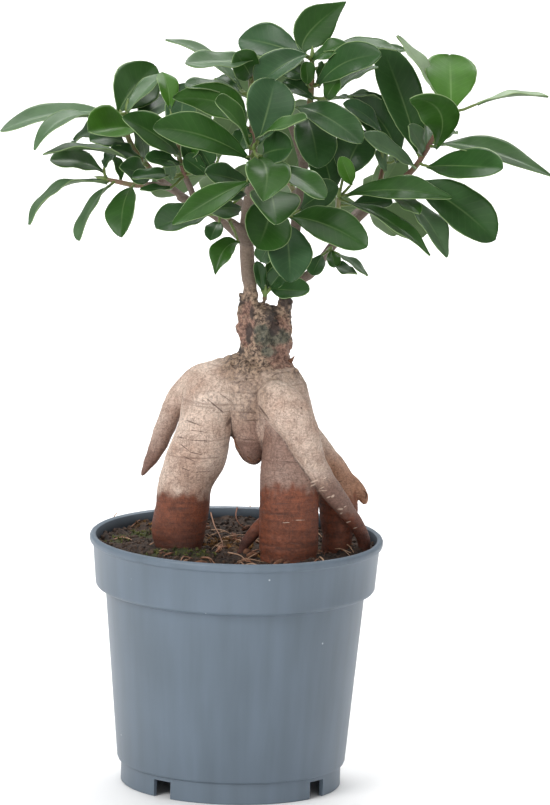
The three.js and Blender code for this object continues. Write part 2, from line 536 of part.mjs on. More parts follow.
// A shoot's twig goes on from the flat end of its branch, a clearance away.
function twigRows(from, rows) {
  const [before, end] = WOOD[from].slice(-2);
  const step = [0, 1, 2].map((i) => end[i] - before[i]);
  const length = Math.hypot(...step);
  const start = [0, 1, 2].map((i) => end[i] + step[i] / length * GAP);
  return [[...start, end[3]], ...rows];
}

function leafyShoot({ from, twig, leaves }) {
  const rows = twigRows(from, twig);
  const line = rows.map(([a, u, d]) => seen(a, u, d));
  const blades = leaves.map((row, order) => {
    const [width, turn, bow, right = 0, lift = 0] = row.slice(6);
    const foot = seen(...row.slice(0, 3));
    const tip = seen(...row.slice(3, 6));
    const aside = seen(right, lift, 0).sub(seen(0, 0, 0));
    return leaf(stalkRoot(line, foot, order), foot, tip, faceOf(foot, tip, turn), width, bow, aside);
  });
  return joined([limb(rows, TWIG_SIDES, 1), ...blades]);
}

function backShoot({ from, reach, leaves, turn }) {
  const end = WOOD[from].at(-1);
  const onward = [0.5, 1].map((share) => [0, 1, 2].map((i) => end[i] + reach[i] * share));
  const rows = twigRows(from, [[...onward[0], 1], [...onward[1], 0.7]]);
  const line = rows.map(([a, u, d]) => seen(a, u, d));
  const axis = new THREE.Vector3().subVectors(line[2], line[0]).normalize();
  const side = new THREE.Vector3(1, 0, 0).addScaledVector(axis, -axis.x).normalize();
  const other = new THREE.Vector3().crossVectors(axis, side);
  const blades = [];
  for (let i = 0; i < leaves; i += 1) {
    const share = (i + 1) / leaves;
    const round = THREE.MathUtils.degToRad(turn) + i * GOLDEN_ANGLE;
    const open = THREE.MathUtils.degToRad(90 - 60 * share);
    const outward = side.clone().multiplyScalar(Math.cos(round)).addScaledVector(other, Math.sin(round));
    const along = axis.clone().multiplyScalar(Math.cos(open)).addScaledVector(outward, Math.sin(open));
    const root = line[0].clone().lerp(line[2], 0.15 + 0.85 * share);
    const foot = root.clone().addScaledVector(along, BACK_PETIOLE);
    const tip = foot.clone().addScaledVector(along, BACK_LEAF_LENGTH * (1 - 0.2 * share));
    blades.push(leaf(root, foot, tip, axis, BACK_LEAF_WIDTH * (1 - 0.2 * share), BACK_LEAF_BOW));
  }
  return joined([limb(rows, TWIG_SIDES, 1), ...blades]);
}

function lathe(profile) {
  const turned = new THREE.LatheGeometry(profile.map(([r, z]) => new THREE.Vector2(r, z)), POT_SIDES);
  turned.rotateX(Math.PI / 2);
  turned.translate(AXIS_X, 0, 0);
  return solidOf(turned);
}

// The pot's inner wall from the lip down to the floor: radius, height.
const INNER = [
  [RIM_RADIUS - LIP_REACH, POT_HEIGHT],
  [COLLAR_RADIUS_TOP - WALL, POT_HEIGHT - LIP_HEIGHT],
  [COLLAR_RADIUS_LOW - WALL, COLLAR_LOW + 1],
  [BODY_RADIUS_TOP - WALL, COLLAR_LOW - STEP_DEPTH],
  [BODY_RADIUS_LOW - WALL, FLOOR_TOP],
];

function pot() {
  const shell = lathe([
    [0, FLOOR_UNDER], [FOOT_RADIUS - WALL, FLOOR_UNDER], [FOOT_RADIUS - WALL, 0], [FOOT_RADIUS, 0],
    [FOOT_RADIUS, FOOT_HEIGHT], [BODY_RADIUS_LOW - 0.5, FOOT_HEIGHT + 0.3],
    [BODY_RADIUS_LOW, FOOT_HEIGHT + 1.5], [BODY_RADIUS_TOP, COLLAR_LOW - STEP_DEPTH],
    [COLLAR_RADIUS_LOW - 1.2, COLLAR_LOW - 0.8], [COLLAR_RADIUS_LOW, COLLAR_LOW + 0.8],
    [COLLAR_RADIUS_TOP, POT_HEIGHT - LIP_HEIGHT], [RIM_RADIUS, POT_HEIGHT - LIP_HEIGHT + 1],
    [RIM_RADIUS, POT_HEIGHT - 1], [RIM_RADIUS - 0.8, POT_HEIGHT],
    ...INNER, [0, FLOOR_TOP],
  ]);
  const cuts = [];
  for (let i = 0; i < NOTCH_COUNT; i += 1) {
    const angle = THREE.MathUtils.degToRad(NOTCH_FIRST_ANGLE - 90 + i * 360 / NOTCH_COUNT);
    const notch = new THREE.BoxGeometry(NOTCH_REACH, NOTCH_WIDTH, 2 * (FLOOR_UNDER - 0.8));
    notch.translate(FOOT_RADIUS, 0, 0).rotateZ(angle).translate(AXIS_X, 0, 0);
    cuts.push(solidOf(notch));
    const drain = new THREE.CylinderGeometry(DRAIN_RADIUS, DRAIN_RADIUS, 4 * WALL, 8);
    drain.rotateX(Math.PI / 2).translate(DRAIN_CIRCLE, 0, FLOOR_UNDER + WALL / 2);
    drain.rotateZ(angle + Math.PI / NOTCH_COUNT).translate(AXIS_X, 0, 0);
    cuts.push(solidOf(drain));
  }
  return cuts.reduce((body, cut) => body.subtract(cut), shell);
}

// The soil's surface: gentle lumps, higher at the left front where moss has built it up.
function soilHeight(x, y) {
  const lumps = Math.sin(x / 7 + 1) * Math.cos(y / 8) + 0.6 * Math.sin((x + 2 * y) / 5);
  const mound = 1.6 * Math.exp(-((x + 40) ** 2 + (y + 22) ** 2) / 300);
  return SOIL_LEVEL + SOIL_RELIEF * lumps + mound;
}

const SOIL_HOLES = ["leg_left", "leg_middle", "leg_right", "root_front", "bark_root"];

function soil() {
  const wall = INNER.slice(1).map(([r, z]) => [r - GAP, z === FLOOR_TOP ? z + GAP : z]);
  const [brim, ...below] = wall;
  const rings = [0, 0.22, 0.42, 0.62, 0.82].map((share) => [share * brim[0], SOIL_LEVEL]);
  const turned = new THREE.LatheGeometry(
    [[0, below.at(-1)[1]], ...below.toReversed(), [brim[0], SOIL_LEVEL], ...rings.toReversed()]
      .map(([r, z]) => new THREE.Vector2(r, z)), POT_SIDES,
  );
  turned.rotateX(Math.PI / 2);
  const position = turned.getAttribute("position");
  for (let i = 0; i < position.count; i += 1) {
    const [x, y, z] = [position.getX(i), position.getY(i), position.getZ(i)];
    if (z > SOIL_LEVEL - 1) position.setZ(i, soilHeight(x, y));
  }
  turned.translate(AXIS_X, 0, 0);
  const holes = SOIL_HOLES.map((name) => limb(ROOTSTOCK[name], ROOT_SIDES, 1, GAP));
  return holes.reduce((body, hole) => body.subtract(hole), solidOf(turned));
}

function trunk() {
  const roots = Object.values(ROOTSTOCK).map((rows) => limb(rows, ROOT_SIDES, 1));
  const wood = Object.values(WOOD).map((rows) => limb(rows, TWIG_SIDES, 1));
  return joined([...roots, ...wood]);
}

const finish = (color, roughness) => new THREE.MeshStandardMaterial({ color, roughness, metalness: 0 });
const SLATE_PLASTIC = finish(0x6f7a85, 0.55);
const PEAT = finish(0x33291f, 1);
const BARK = finish(0xb59b84, 0.75);
const LEAF_GREEN = finish(0x3a6328, 0.4);

const plant = new THREE.Group();
plant.add(meshOf("pot", pot(), SLATE_PLASTIC));
plant.add(meshOf("soil", soil(), PEAT));
plant.add(meshOf("trunk", trunk(), BARK));
for (const [name, shoot] of Object.entries(SHOOTS)) {
  plant.add(meshOf(name, leafyShoot(shoot), LEAF_GREEN));
}
for (const [name, shoot] of Object.entries(BACK_SHOOTS)) {
  plant.add(meshOf(name, backShoot(shoot), LEAF_GREEN));
}

export default plant;
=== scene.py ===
import math
import random

import bpy
import numpy as np
from mathutils import Matrix, Vector, noise
from mathutils.bvhtree import BVHTree


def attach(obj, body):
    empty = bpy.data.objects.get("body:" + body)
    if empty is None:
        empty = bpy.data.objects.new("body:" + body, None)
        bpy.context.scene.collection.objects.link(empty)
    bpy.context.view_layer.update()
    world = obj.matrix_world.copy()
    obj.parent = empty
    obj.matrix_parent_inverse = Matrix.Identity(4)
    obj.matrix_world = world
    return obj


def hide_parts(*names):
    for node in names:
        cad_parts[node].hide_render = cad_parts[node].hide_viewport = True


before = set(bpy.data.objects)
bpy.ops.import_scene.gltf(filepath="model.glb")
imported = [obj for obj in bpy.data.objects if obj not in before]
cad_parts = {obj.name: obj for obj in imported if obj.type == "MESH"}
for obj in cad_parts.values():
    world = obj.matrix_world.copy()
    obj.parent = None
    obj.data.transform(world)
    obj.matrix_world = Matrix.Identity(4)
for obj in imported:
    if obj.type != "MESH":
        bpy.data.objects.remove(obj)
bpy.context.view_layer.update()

MM = 0.001
PER_MM = 1000

# The pot, as it is in the solids. The first notch stands so many degrees from the front.
POT_HEIGHT = 103
RIM_RADIUS = 60
LIP_HEIGHT = 4
LIP_REACH = 2.4
COLLAR_HEIGHT = 21
COLLAR_RADIUS_TOP = 58.6
COLLAR_RADIUS_LOW = 57.2
STEP_DEPTH = 2.5
BODY_RADIUS_TOP = 53
BODY_RADIUS_LOW = 46.7
FOOT_RADIUS = 45
FOOT_HEIGHT = 9
WALL = 1.8
NOTCH_WIDTH = 8.5
NOTCH_COUNT = 4
NOTCH_FIRST_ANGLE = -38
DRAIN_RADIUS = 4
DRAIN_CIRCLE = 27
LIP_LOW = POT_HEIGHT - LIP_HEIGHT
COLLAR_LOW = POT_HEIGHT - COLLAR_HEIGHT
STEP_LOW = COLLAR_LOW - STEP_DEPTH
FLOOR_UNDER = FOOT_HEIGHT - 1
FLOOR_TOP = FLOOR_UNDER + WALL
NOTCH_TOP = FLOOR_UNDER - 0.8
AXIS_X = -12

# The soil in the pot, and the gap that it keeps to the wall.
SOIL_LEVEL = 97.5
SOIL_RELIEF = 1.1
GAP = 0.35

# The plant's points are written as they show from the front: millimetres to the right of the
# middle of the pot's foot, millimetres above it, and the depth behind the pot's axis.
VIEW_DOWN = math.radians(11)
VIEW_ROLL = math.radians(1.5)
RIGHTWARDS = Vector((1, 0, 0))
UPWARDS = Vector((0, math.sin(VIEW_DOWN), math.cos(VIEW_DOWN)))
VIEW_RIGHT = RIGHTWARDS * math.cos(VIEW_ROLL) + UPWARDS * math.sin(VIEW_ROLL)
VIEW_UP = UPWARDS * math.cos(VIEW_ROLL) - RIGHTWARDS * math.sin(VIEW_ROLL)
TO_EYE = Vector((0, -math.cos(VIEW_DOWN), math.sin(VIEW_DOWN)))


def seen(across, up, depth):
    """The point that shows at a place from the front and stands at a depth."""
    x = across * math.cos(VIEW_ROLL) - up * math.sin(VIEW_ROLL)
    rise = across * math.sin(VIEW_ROLL) + up * math.cos(VIEW_ROLL)
    return Vector((AXIS_X + x, depth, (rise - depth * math.sin(VIEW_DOWN)) / math.cos(VIEW_DOWN)))


# Each limb of the rootstock and each woody branch is a row of sections along its middle:
# across, up, depth, half width across, half width in depth.
ROOTSTOCK = {
    "torso": [
        [13, 171, 1, 8, 8], [12, 165, 1, 14, 12], [13, 158, 1, 17.5, 13.5],
        [15.5, 151, 0, 18, 13.5], [20.5, 144, 0, 15, 12], [26, 138, 2, 9, 9],
    ],
    "leg_left": [
        [6, 166.5, 0, 8, 9], [-1, 162.5, -2, 10.5, 10], [-8, 155, -4, 11, 11], [-10.6, 144, -6, 11, 11.5],
        [-13, 135, -7, 12, 11.5], [-15.5, 129.5, -7, 11.6, 11], [-18, 123, -7, 10.9, 10.5],
        [-19.6, 112, -7, 11, 10.5], [-21, 103, -7, 11, 10.5], [-20.4, 97, -7, 8.7, 9],
        [-19, 91, -6, 6, 7], [-18, 80, -5, 3, 3.5],
    ],
    "leg_middle": [
        [19.6, 162, -2, 9, 9], [22, 152, -7, 9, 9], [22, 142, -11, 8, 9], [23.3, 132, -14, 10.5, 10],
        [24, 119.5, -17, 11.9, 11], [24, 105, -19, 12, 11], [23.7, 93, -19, 11.5, 11],
        [23.3, 81, -19, 8, 8], [23, 72, -19, 3, 3],
    ],
    "leg_right": [
        [22, 146, 3, 9, 8], [28.6, 140, 4, 9, 8.5], [35, 133.4, 5, 8, 8], [40.8, 126, 6, 7.8, 7.6],
        [43.7, 118, 5, 8.2, 7.4], [44.3, 109, 3, 7.6, 7], [44, 101, 1, 6.2, 6.2],
        [42.8, 92.6, 0, 5.8, 5.8], [42.4, 83, 0, 4, 4], [42.4, 77, 0, 2, 2],
    ],
    "cut_root": [
        [47, 124.5, 5, 3, 3], [51.5, 121, 5, 2.7, 2.7], [54, 117.5, 5, 2.4, 2.4], [54.9, 115, 5, 1.5, 1.5],
    ],
    "root_front": [
        [15.5, 160, -13, 4, 4], [18.8, 156.5, -19, 8, 6.5], [23.7, 151.5, -22, 9, 7.5],
        [28.2, 144.5, -22, 7.8, 7], [31, 137.5, -22, 6.3, 6], [34.3, 130, -21, 5.3, 5.2],
        [38.8, 123, -19, 4.7, 4.6], [44, 115.5, -15, 4.1, 4], [49, 109, -10, 3.5, 3.5],
        [53, 103, -5, 3, 3], [54.8, 98, -2, 2.7, 2.7], [54.6, 91, 0, 2, 2],
    ],
    "root_hanging": [
        [-5, 165.5, 2, 5.5, 6], [-11, 165.5, 3, 5.6, 6], [-16.3, 162, 5, 5.4, 5.5], [-22, 156, 6, 4.6, 4.8],
        [-25.7, 147.3, 6, 4.3, 4.4], [-29, 138.7, 6, 3.5, 3.6], [-32.4, 132, 5, 2.6, 2.6],
        [-34.7, 128, 5, 1.5, 1.5], [-35.8, 125.8, 5, 0.6, 0.6],
    ],
    "knob": [
        [5.3, 162.5, -5, 9, 9], [6.5, 154, -6, 8.5, 8.5], [7.8, 144, -6, 6.7, 7.5],
        [8.2, 138.7, -6, 6.2, 7], [9.4, 134.6, -6, 4.5, 5], [10.2, 132.2, -6, 2, 2],
    ],
    "neck": [
        [14.3, 162, 2, 11, 10], [14.3, 169, 2, 9.3, 9], [15.1, 176, 2, 9.8, 9], [14.7, 183, 2, 10.8, 9],
        [14.7, 186, 2, 9.8, 8.5], [15.3, 188.5, 2, 7.5, 6.5], [16.3, 189.5, 2, 4, 4],
    ],
    "graft_left": [
        [7, 178, 0, 2.6, 3], [5.3, 183.6, 0, 3, 4], [6.5, 188, 0, 3, 3.5], [5.3, 193, 0, 2.8, 3],
        [4.9, 197, 0, 2.2, 2.2], [4.5, 198.7, 0, 1.2, 1.2],
    ],
    "graft_right": [
        [22, 176.5, 0, 3.2, 4], [21.6, 183.6, 0, 4.2, 4.5], [21.8, 189.7, 1, 3.4, 3.6],
        [22, 196, 1, 2.8, 2.8],
    ],
    "callus": [
        [12.2, 178, -3, 5, 4], [13, 185, -5, 5, 4.5], [13.5, 190, -5, 4.4, 4], [13.9, 193, -4, 2.6, 2.6],
    ],
    "bark_root": [
        [14.5, 108, -14, 2.2, 2], [10.5, 103, -13, 2.6, 2], [6.5, 98, -12, 2.2, 1.8], [4, 93, -11, 1.4, 1.2],
    ],
}

WOOD = {
    "stem_left": [
        [10, 186, -3, 3, 3.4], [9.4, 192, -3.6, 3.9, 3.6], [8.4, 200, -1, 3.1, 3.1], [7.3, 209, 0, 2.9, 2.9],
        [6.9, 217.5, 0, 3, 3], [6.5, 226, -1, 2.6, 2.6], [7.5, 236, -5, 2.3, 2.3], [9, 246, -9, 2.1, 2.1],
        [9.4, 255, -11, 1.8, 1.8], [9.4, 262, -11, 1.6, 1.6],
    ],
    "stem_right": [
        [22, 188, 1, 3.2, 3.4], [22.6, 197, 2, 2.8, 2.8], [22.8, 204, 3, 2.6, 2.6], [25, 214, 6, 2.4, 2.4],
        [27, 228, 9, 2.2, 2.2], [29, 243, 10, 2, 2], [30.5, 257, 8, 1.8, 1.8], [32, 272, 4, 1.5, 1.5],
    ],
    "bough_left": [
        [6.8, 221, -1, 2.8, 2.8], [-2, 228.6, -3, 2.1, 2.1], [-12, 235, -4, 1.8, 1.8],
        [-20, 238.5, -4, 1.6, 1.6],
    ],
    "branch_left_high": [[-18, 238, -4, 1.5, 1.5], [-24, 242.5, -2, 1.4, 1.4], [-28.6, 246, 0, 1.3, 1.3]],
    "branch_left_low": [[-23, 241.5, -3, 1.2, 1.2], [-29, 243.6, -4, 1.2, 1.2], [-35, 243.6, -4, 1.1, 1.1]],
    "branch_left_inner": [[-14, 236, -4, 1.4, 1.4], [-15.5, 241, -8, 1.3, 1.3], [-18, 246.5, -12, 1.2, 1.2]],
    "spur_left_hanging": [[6.5, 224, -1, 1.8, 1.8], [3, 227.5, -7, 1.3, 1.3], [0.5, 229, -11, 1.1, 1.1]],
    "spur_centre": [[8, 241, -7, 1.6, 1.6], [9, 249, -19, 1.4, 1.4], [9.4, 252.5, -31, 1.2, 1.2]],
    "spur_low_centre": [[24, 211, 5, 1.8, 1.8], [22.5, 221, -7, 1.5, 1.5], [22, 228, -20, 1.3, 1.3]],
    "bough_right": [
        [22.8, 203, 3, 2.2, 2.2], [32, 207, 3, 2, 2], [37, 213, 4, 1.8, 1.8], [43, 220.5, 5, 1.8, 1.8],
        [50, 228, 5, 1.7, 1.7], [59, 236.5, 4, 1.6, 1.6], [67, 243.5, 2, 1.4, 1.4], [71.5, 247, 0, 1.3, 1.3],
    ],
    "spur_right_front": [[43, 220.5, 5, 1.5, 1.5], [43.5, 227, -2, 1.2, 1.2], [43.8, 232, -8, 1.1, 1.1]],
    "spur_right_inner": [[58, 235.5, 4, 1.4, 1.4], [60, 241.5, 9, 1.2, 1.2], [61.3, 246, 12, 1.1, 1.1]],
    "spur_right_low": [[63, 240, 3, 1.2, 1.2], [66.5, 239.5, -1, 1.1, 1.1], [69, 239.8, -5, 1, 1]],
    "spur_back_left": [[7, 233, -4, 1.8, 1.8], [1, 240, 8, 1.6, 1.6], [-4, 246, 18, 1.4, 1.4]],
    "spur_back_centre": [[27, 230, 9, 1.8, 1.8], [27, 238, 20, 1.5, 1.5], [26.5, 241, 31, 1.3, 1.3]],
    "spur_back_right": [[45, 223, 5, 1.6, 1.6], [50, 231, 17, 1.4, 1.4], [54, 235, 28, 1.3, 1.3]],
    "spur_back_top": [[30, 252, 9, 1.6, 1.6], [27, 262, 16, 1.4, 1.4], [24, 270, 22, 1.2, 1.2]],
    "spur_small": [[37, 213, 4, 1.4, 1.4], [39, 216, 0, 1.1, 1.1], [40, 217, -3, 1, 1]],
    "spur_graft": [[14, 192, -1, 1.4, 1.4], [14, 196, -2, 1.2, 1.2], [14.2, 197.8, -2.6, 1, 1]],
}

LIMBS = {**ROOTSTOCK, **WOOD}

# The leafy shoots: the branch that each grows from, the sections of its twig (across, up, depth,
# half width), and its leaves. A leaf is its foot (across, up, depth), its tip, its width, how many
# degrees its upper side turns from the eye, how high it bows, and how far it is drawn to the right
# and up.
SHOOTS = {
    "shoot_left_low": {
        "from": "branch_left_low",
        "twig": [[-39, 243.5, -4, 1.1], [-46, 245, -3, 1], [-50.5, 246, -2, 0.8]],
        "leaves": [
            [-49.8, 244.4, -4, -81.6, 227.3, -20, 9.5, 74, 8.2],
            [-48.6, 243.6, -6, -61.2, 220.7, -26, 9, 62, 3],
            [-39.6, 242.8, -8, -43.7, 222, -28, 14, -35, 4],
            [-44.5, 245.2, 0, -47.3, 255.4, 4, 5, 40, 1.5],
            [-51.4, 250.5, 3, -45.7, 257.9, 9, 7, 50, 1],
            [-51, 248.9, 4, -73, 253.4, -2, 16, 56, 3],
        ],
    },
    "shoot_left_high": {
        "from": "branch_left_high",
        "twig": [
            [-32.6, 250.5, 2, 1.2], [-37, 256, 3, 1.1], [-41, 262, 4, 1.1], [-42, 269, 5, 1],
            [-41.8, 274, 6, 0.8],
        ],
        "leaves": [
            [-49.4, 273, 3, -93.4, 265.6, 8, 14.5, 63, 4],
            [-50.6, 270.1, 0, -79.2, 257.4, -16, 13, 66, 8, -0.5, -0.4],
            [-40, 266.8, -1, -57.1, 264.8, -24, 17, 35, 3],
            [-48.1, 265.2, 8, -63.6, 261.9, 18, 12, 60, 3],
            [-41.6, 259.5, -1, -56.7, 261.1, -16, 12, 52, 3],
            [-39.2, 253.4, 0, -75.9, 255.8, -6, 11, 80, 4.5],
            [-45.3, 273.4, 6, -32.2, 291.3, 30, 20.5, -5, 3.5, -2.4, -1.2],
            [-41.6, 273.4, 3, -27.3, 289.3, 14, 12, 64, 1],
            [-37.5, 269.3, 7, -24.5, 278.3, 26, 15, 36, 3],
            [-33, 246, -8, -44.5, 250.5, -24, 12, 30, 2],
            [-34.7, 254.2, 0, -38.4, 267.2, -12, 9, 40, 2],
            [-35.9, 252.6, -2, -48.1, 258.3, -18, 8, 50, 2],
        ],
    },
    "shoot_left_inner": {
        "from": "branch_left_inner",
        "twig": [[-19, 250, -13.5, 1.1], [-20.8, 256, -14, 1], [-20.6, 262, -14, 0.8]],
        "leaves": [
            [-22, 247.2, -14, -39.2, 246, -30, 7, 50, 1.5],
            [-23.7, 241.9, -18, -36.3, 241.1, -30, 3.5, 40, 1],
            [-20.4, 258.3, -12, -18, 284.8, 2, 13.5, -12, 3],
            [-20.4, 255.4, -16, -43.2, 270.1, -34, 16, 42, 3.2],
            [-24.5, 273.8, -6, -27.3, 289.3, 6, 9, 20, 2, 0.5, 0],
            [-20, 251.7, -17, -33.9, 254.2, -30, 7.5, 30, 1.5],
            [-16.3, 253.8, -16, -12.6, 257.9, -22, 5, 40, 1],
            [-23.7, 245.6, -17, -24.5, 253, -24, 5, 10, 1],
            [-9.8, 247.7, -20, -18.8, 254.2, -23, 9, 20, 1.2],
            [-13.9, 250.9, -16, -19.2, 259.9, -21, 6.5, 20, 1],
            [-6.9, 249.3, -18, -12.6, 258.7, -19, 9, 20, 1],
        ],
    },
    "shoot_left_hanging": {
        "from": "spur_left_hanging",
        "twig": [[-2, 230.5, -16, 1], [-5, 231.5, -21, 0.9]],
        "leaves": [
            [-8.2, 231.3, -22, -29.8, 225.6, -36, 15.5, 45, 3],
            [4.5, 233.4, -21, -9.8, 232.6, -40, 12, 35, 2],
            [-4.1, 228.1, -24, -7.8, 220.7, -34, 7.5, 20, 1.5],
            [4.1, 220.3, -22, -5.7, 206.9, -30, 10, 20, 2, -1.5, 2.6],
            [7.8, 243.2, -24, -9.8, 247.7, -44, 11, 30, 2],
            [6.5, 239.5, -26, -2, 237.5, -38, 4.5, 20, 1],
        ],
    },
    "shoot_centre_front": {
        "from": "spur_centre",
        "twig": [[9.5, 254, -36, 1.1], [9.6, 256, -41, 1], [9.8, 257.5, -44, 0.8]],
        "leaves": [
            [11, 253.4, -48, 13.5, 235.8, -76, 19, 18, 5, 2, 0],
            [18.4, 249.3, -46, 38.4, 237, -64, 12, 42, 3],
            [8.2, 244.4, -50, -22.8, 226.4, -72, 12, 25, 3],
            [8.2, 253, -45, -30.6, 265.2, -62, 16.5, 30, 4, -1, 2.2],
            [7.8, 257.4, -45, -7.3, 275.4, -54, 13, 60, 4, -1, 2.5],
            [11.4, 259.5, -41, 18.4, 285.2, -25, 20.5, 8, 3],
            [11, 261.1, -46, 31.8, 267.6, -66, 12, 66, 2.6],
            [13.1, 254.2, -42, 25.3, 257.4, -56, 15, 30, 3],
        ],
    },
    "shoot_upper_left": {
        "from": "stem_left",
        "twig": [[9.3, 268, -10, 1.4], [9, 279, -7, 1.2], [8.6, 287, -5, 1.1], [9.5, 290.5, -5, 0.9]],
        "leaves": [
            [6.5, 263.2, -16, -23.7, 277.4, -26, 16, 35, 3, 5.2, 4.5],
            [5.3, 280.3, -8, -18, 283.2, -24, 10, 64, 1.5],
            [8.6, 286.8, -6, 2.4, 296.6, -16, 13, 20, 2],
            [5.7, 280.7, -4, -26.1, 302.7, 6, 10, 66, 1.5, 1.2, 2.6],
            [4.1, 280.7, -8, -6.1, 286.8, 4, 6, 50, 2],
            [11.4, 294.2, -8, -17.5, 292.9, -26, 12, 55, 1, 0, -0.8],
            [7.3, 267.2, -9, 3.3, 257.4, -14, 9, 10, 1],
        ],
    },
    "shoot_top": {
        "from": "stem_right",
        "twig": [[32.8, 279, 3, 1.3], [33.4, 288, 2, 1.1], [33.5, 295, 2, 0.9]],
        "leaves": [
            [29.8, 296.6, 4, 47.3, 318.6, 26, 16, -5, 3, -7, -2.5],
            [30.6, 295.8, 3, 4.1, 303.6, 16, 16.5, 25, 3],
            [31.8, 296.2, -1, 11, 283.6, -14, 15, 40, 4],
            [31.4, 284, -3, 30.6, 293.4, -6, 7, 30, 1],
            [35.5, 284.4, 2, 37.5, 293.8, 6, 5, 30, 1],
            [35.1, 296.2, 2, 67.7, 297.8, -8, 15, 70, 3.4],
            [40.8, 294.2, 14, 71.8, 298.7, 27, 11, 60, 2.5],
            [33.9, 278.3, 0, 22, 285.6, 10, 9, 30, 2],
            [35.9, 283.2, 0, 61.2, 295.8, -20, 14, 30, 3, -1, 2.5],
            [40.8, 279.1, 3, 60.4, 291.7, 5, 11, 64, 2, -0.5, 0.4],
            [39.2, 278.3, -1, 44.5, 286.8, -8, 8, 25, 1.5],
            [26.5, 275, -2, 53.4, 259.9, -28, 14.5, 36, 5],
            [30.6, 272.1, 0, 35.9, 250.1, -22, 18, 20, 4],
            [32.2, 286.8, 6, 22, 290.9, 12, 8, 20, 1.5],
            [35.9, 277.4, 2, 50.2, 279.1, 8, 5, 72, 1],
            [33.5, 293.8, 0, 47.3, 300.7, -4, 9, 40, 1.5],
        ],
    },
    "shoot_low_centre": {
        "from": "spur_low_centre",
        "twig": [[21.8, 230.5, -25, 1.1], [21.6, 232, -30, 0.9]],
        "leaves": [
            [16.3, 235, -32, 11.4, 217.1, -52, 21, 20, 4],
            [15.1, 241.1, -34, 18.8, 226.8, -62, 21, 24, 4],
            [22, 228.1, -32, 24.5, 203.6, -48, 19, 14, 4],
            [24.5, 230.1, -32, 55.5, 217.9, -46, 16, 24, 3, -0.5, 1.8],
            [28.6, 233, -22, 44.1, 241.9, -30, 13, 30, 3],
            [19.2, 224, -24, 12.6, 212.2, -20, 9, 20, 1.5],
        ],
    },
    "shoot_right_front": {
        "from": "spur_right_front",
        "twig": [[44, 235, -13, 1.1], [44.2, 239, -17, 0.9]],
        "leaves": [
            [46.9, 239.1, -18, 89.8, 237.9, -28, 14, 44, 4.6],
            [46.5, 236.6, -19, 81.2, 214.6, -34, 12, 56, 4],
            [49.4, 243.2, -18, 44.9, 254.6, -26, 7, 10, 1],
            [45.7, 246, -12, 54.7, 265.6, -6, 17, 10, 3],
            [42, 239.9, -10, 36.7, 259.1, 0, 15, 10, 3],
            [49, 235.4, -14, 66.1, 236.6, -16, 8, 30, 1],
        ],
    },
    "shoot_right_low": {
        "from": "spur_right_low",
        "twig": [[70, 240, -7.5, 1], [71.5, 240.5, -10.5, 0.8]],
        "leaves": [
            [73.8, 245.2, -10, 107.7, 221.1, -16, 19.5, 24, 4, 0.5, 0.7],
            [71, 237.9, -12, 87.7, 213.8, -26, 13.5, 44, 3, 0.7, 0.4],
            [66.9, 237.9, -12, 76.7, 231.3, -30, 8, 40, 2],
        ],
    },
    "shoot_right_high": {
        "from": "bough_right",
        "twig": [
            [75, 250.5, -1.5, 1.2], [78.5, 255.5, -3, 1.1], [81.5, 260.5, -4, 1.1], [85, 266.5, -5, 1],
            [88, 272.5, -6, 0.8],
        ],
        "leaves": [
            [77.1, 255, 1, 62, 300.3, 14, 17.5, 18, 3, 0.3, -0.3],
            [75.5, 250.5, -4, 53.9, 262.8, -22, 13, 60, 1.5],
            [77.9, 255.4, -3, 72.2, 267.2, -16, 9, 50, 2],
            [86.1, 275.8, -4, 67.7, 304, 6, 11, 66, 2, 0.6, -0.6],
            [89.8, 272.5, -8, 89.4, 296.6, 14, 21.5, 4, 3],
            [83.2, 258.3, -7, 72.2, 279.5, -26, 16, -8, 3, 7.1, 4.9],
            [80, 257.4, 0, 80, 268.1, 12, 7, 30, 1],
            [86.9, 262.3, -2, 91.8, 265.2, 12, 5, 50, 1],
            [100.4, 276.2, -6, 129.3, 279.1, -2, 9, 80, 2.8],
            [84.9, 259.9, -6, 130.2, 246.8, -16, 17, 56, 5.5, -3.4, 0],
            [80, 250.9, -6, 110.2, 249.7, -36, 16.5, 36, 2],
        ],
    },
    "shoot_right_inner": {
        "from": "spur_right_inner",
        "twig": [[62, 249, 13.5, 1], [63, 253, 14.5, 0.8]],
        "leaves": [
            [68.1, 253, 13, 49.8, 279.5, 9, 16, 20, 3, 3, 1.5],
            [61.2, 265.2, 6, 46.1, 276.6, -6, 9, 40, 3],
            [64.5, 277, 14, 47.7, 279.5, 4, 6, 72, 2.5],
            [63.2, 249.3, 13, 60, 258.3, 11, 5, 30, 0.5],
        ],
    },
    "shoot_branch_small": {
        "from": "spur_small",
        "twig": [[40.5, 217.5, -5.5, 0.9]],
        "leaves": [
            [43.7, 215.8, -7, 55.9, 206.4, -16, 6, 60, 1],
            [43.2, 213.4, -8, 51.8, 207.3, -22, 5.5, 30, 1, -1, -1.5],
            [41.2, 216.6, -7, 42.8, 210.1, -14, 6, 10, 0.5],
            [37.5, 215, -8, 33.5, 206.9, -14, 8, 20, 1],
        ],
    },
    "shoot_graft": {
        "from": "spur_graft",
        "twig": [[14.3, 199, -3.2, 0.9]],
        "leaves": [
            [16.3, 201.6, -5, 32.2, 200.7, -22, 10, 35, 1, 0, -0.6],
            [13.1, 200.7, -4, 11, 212.6, -8, 5.5, 20, 1],
            [14.7, 201.1, -2, 16.3, 212.6, 2, 5, 20, 1],
            [16.3, 202, -4, 22, 209.3, -8, 9, 20, 1],
        ],
    },
}

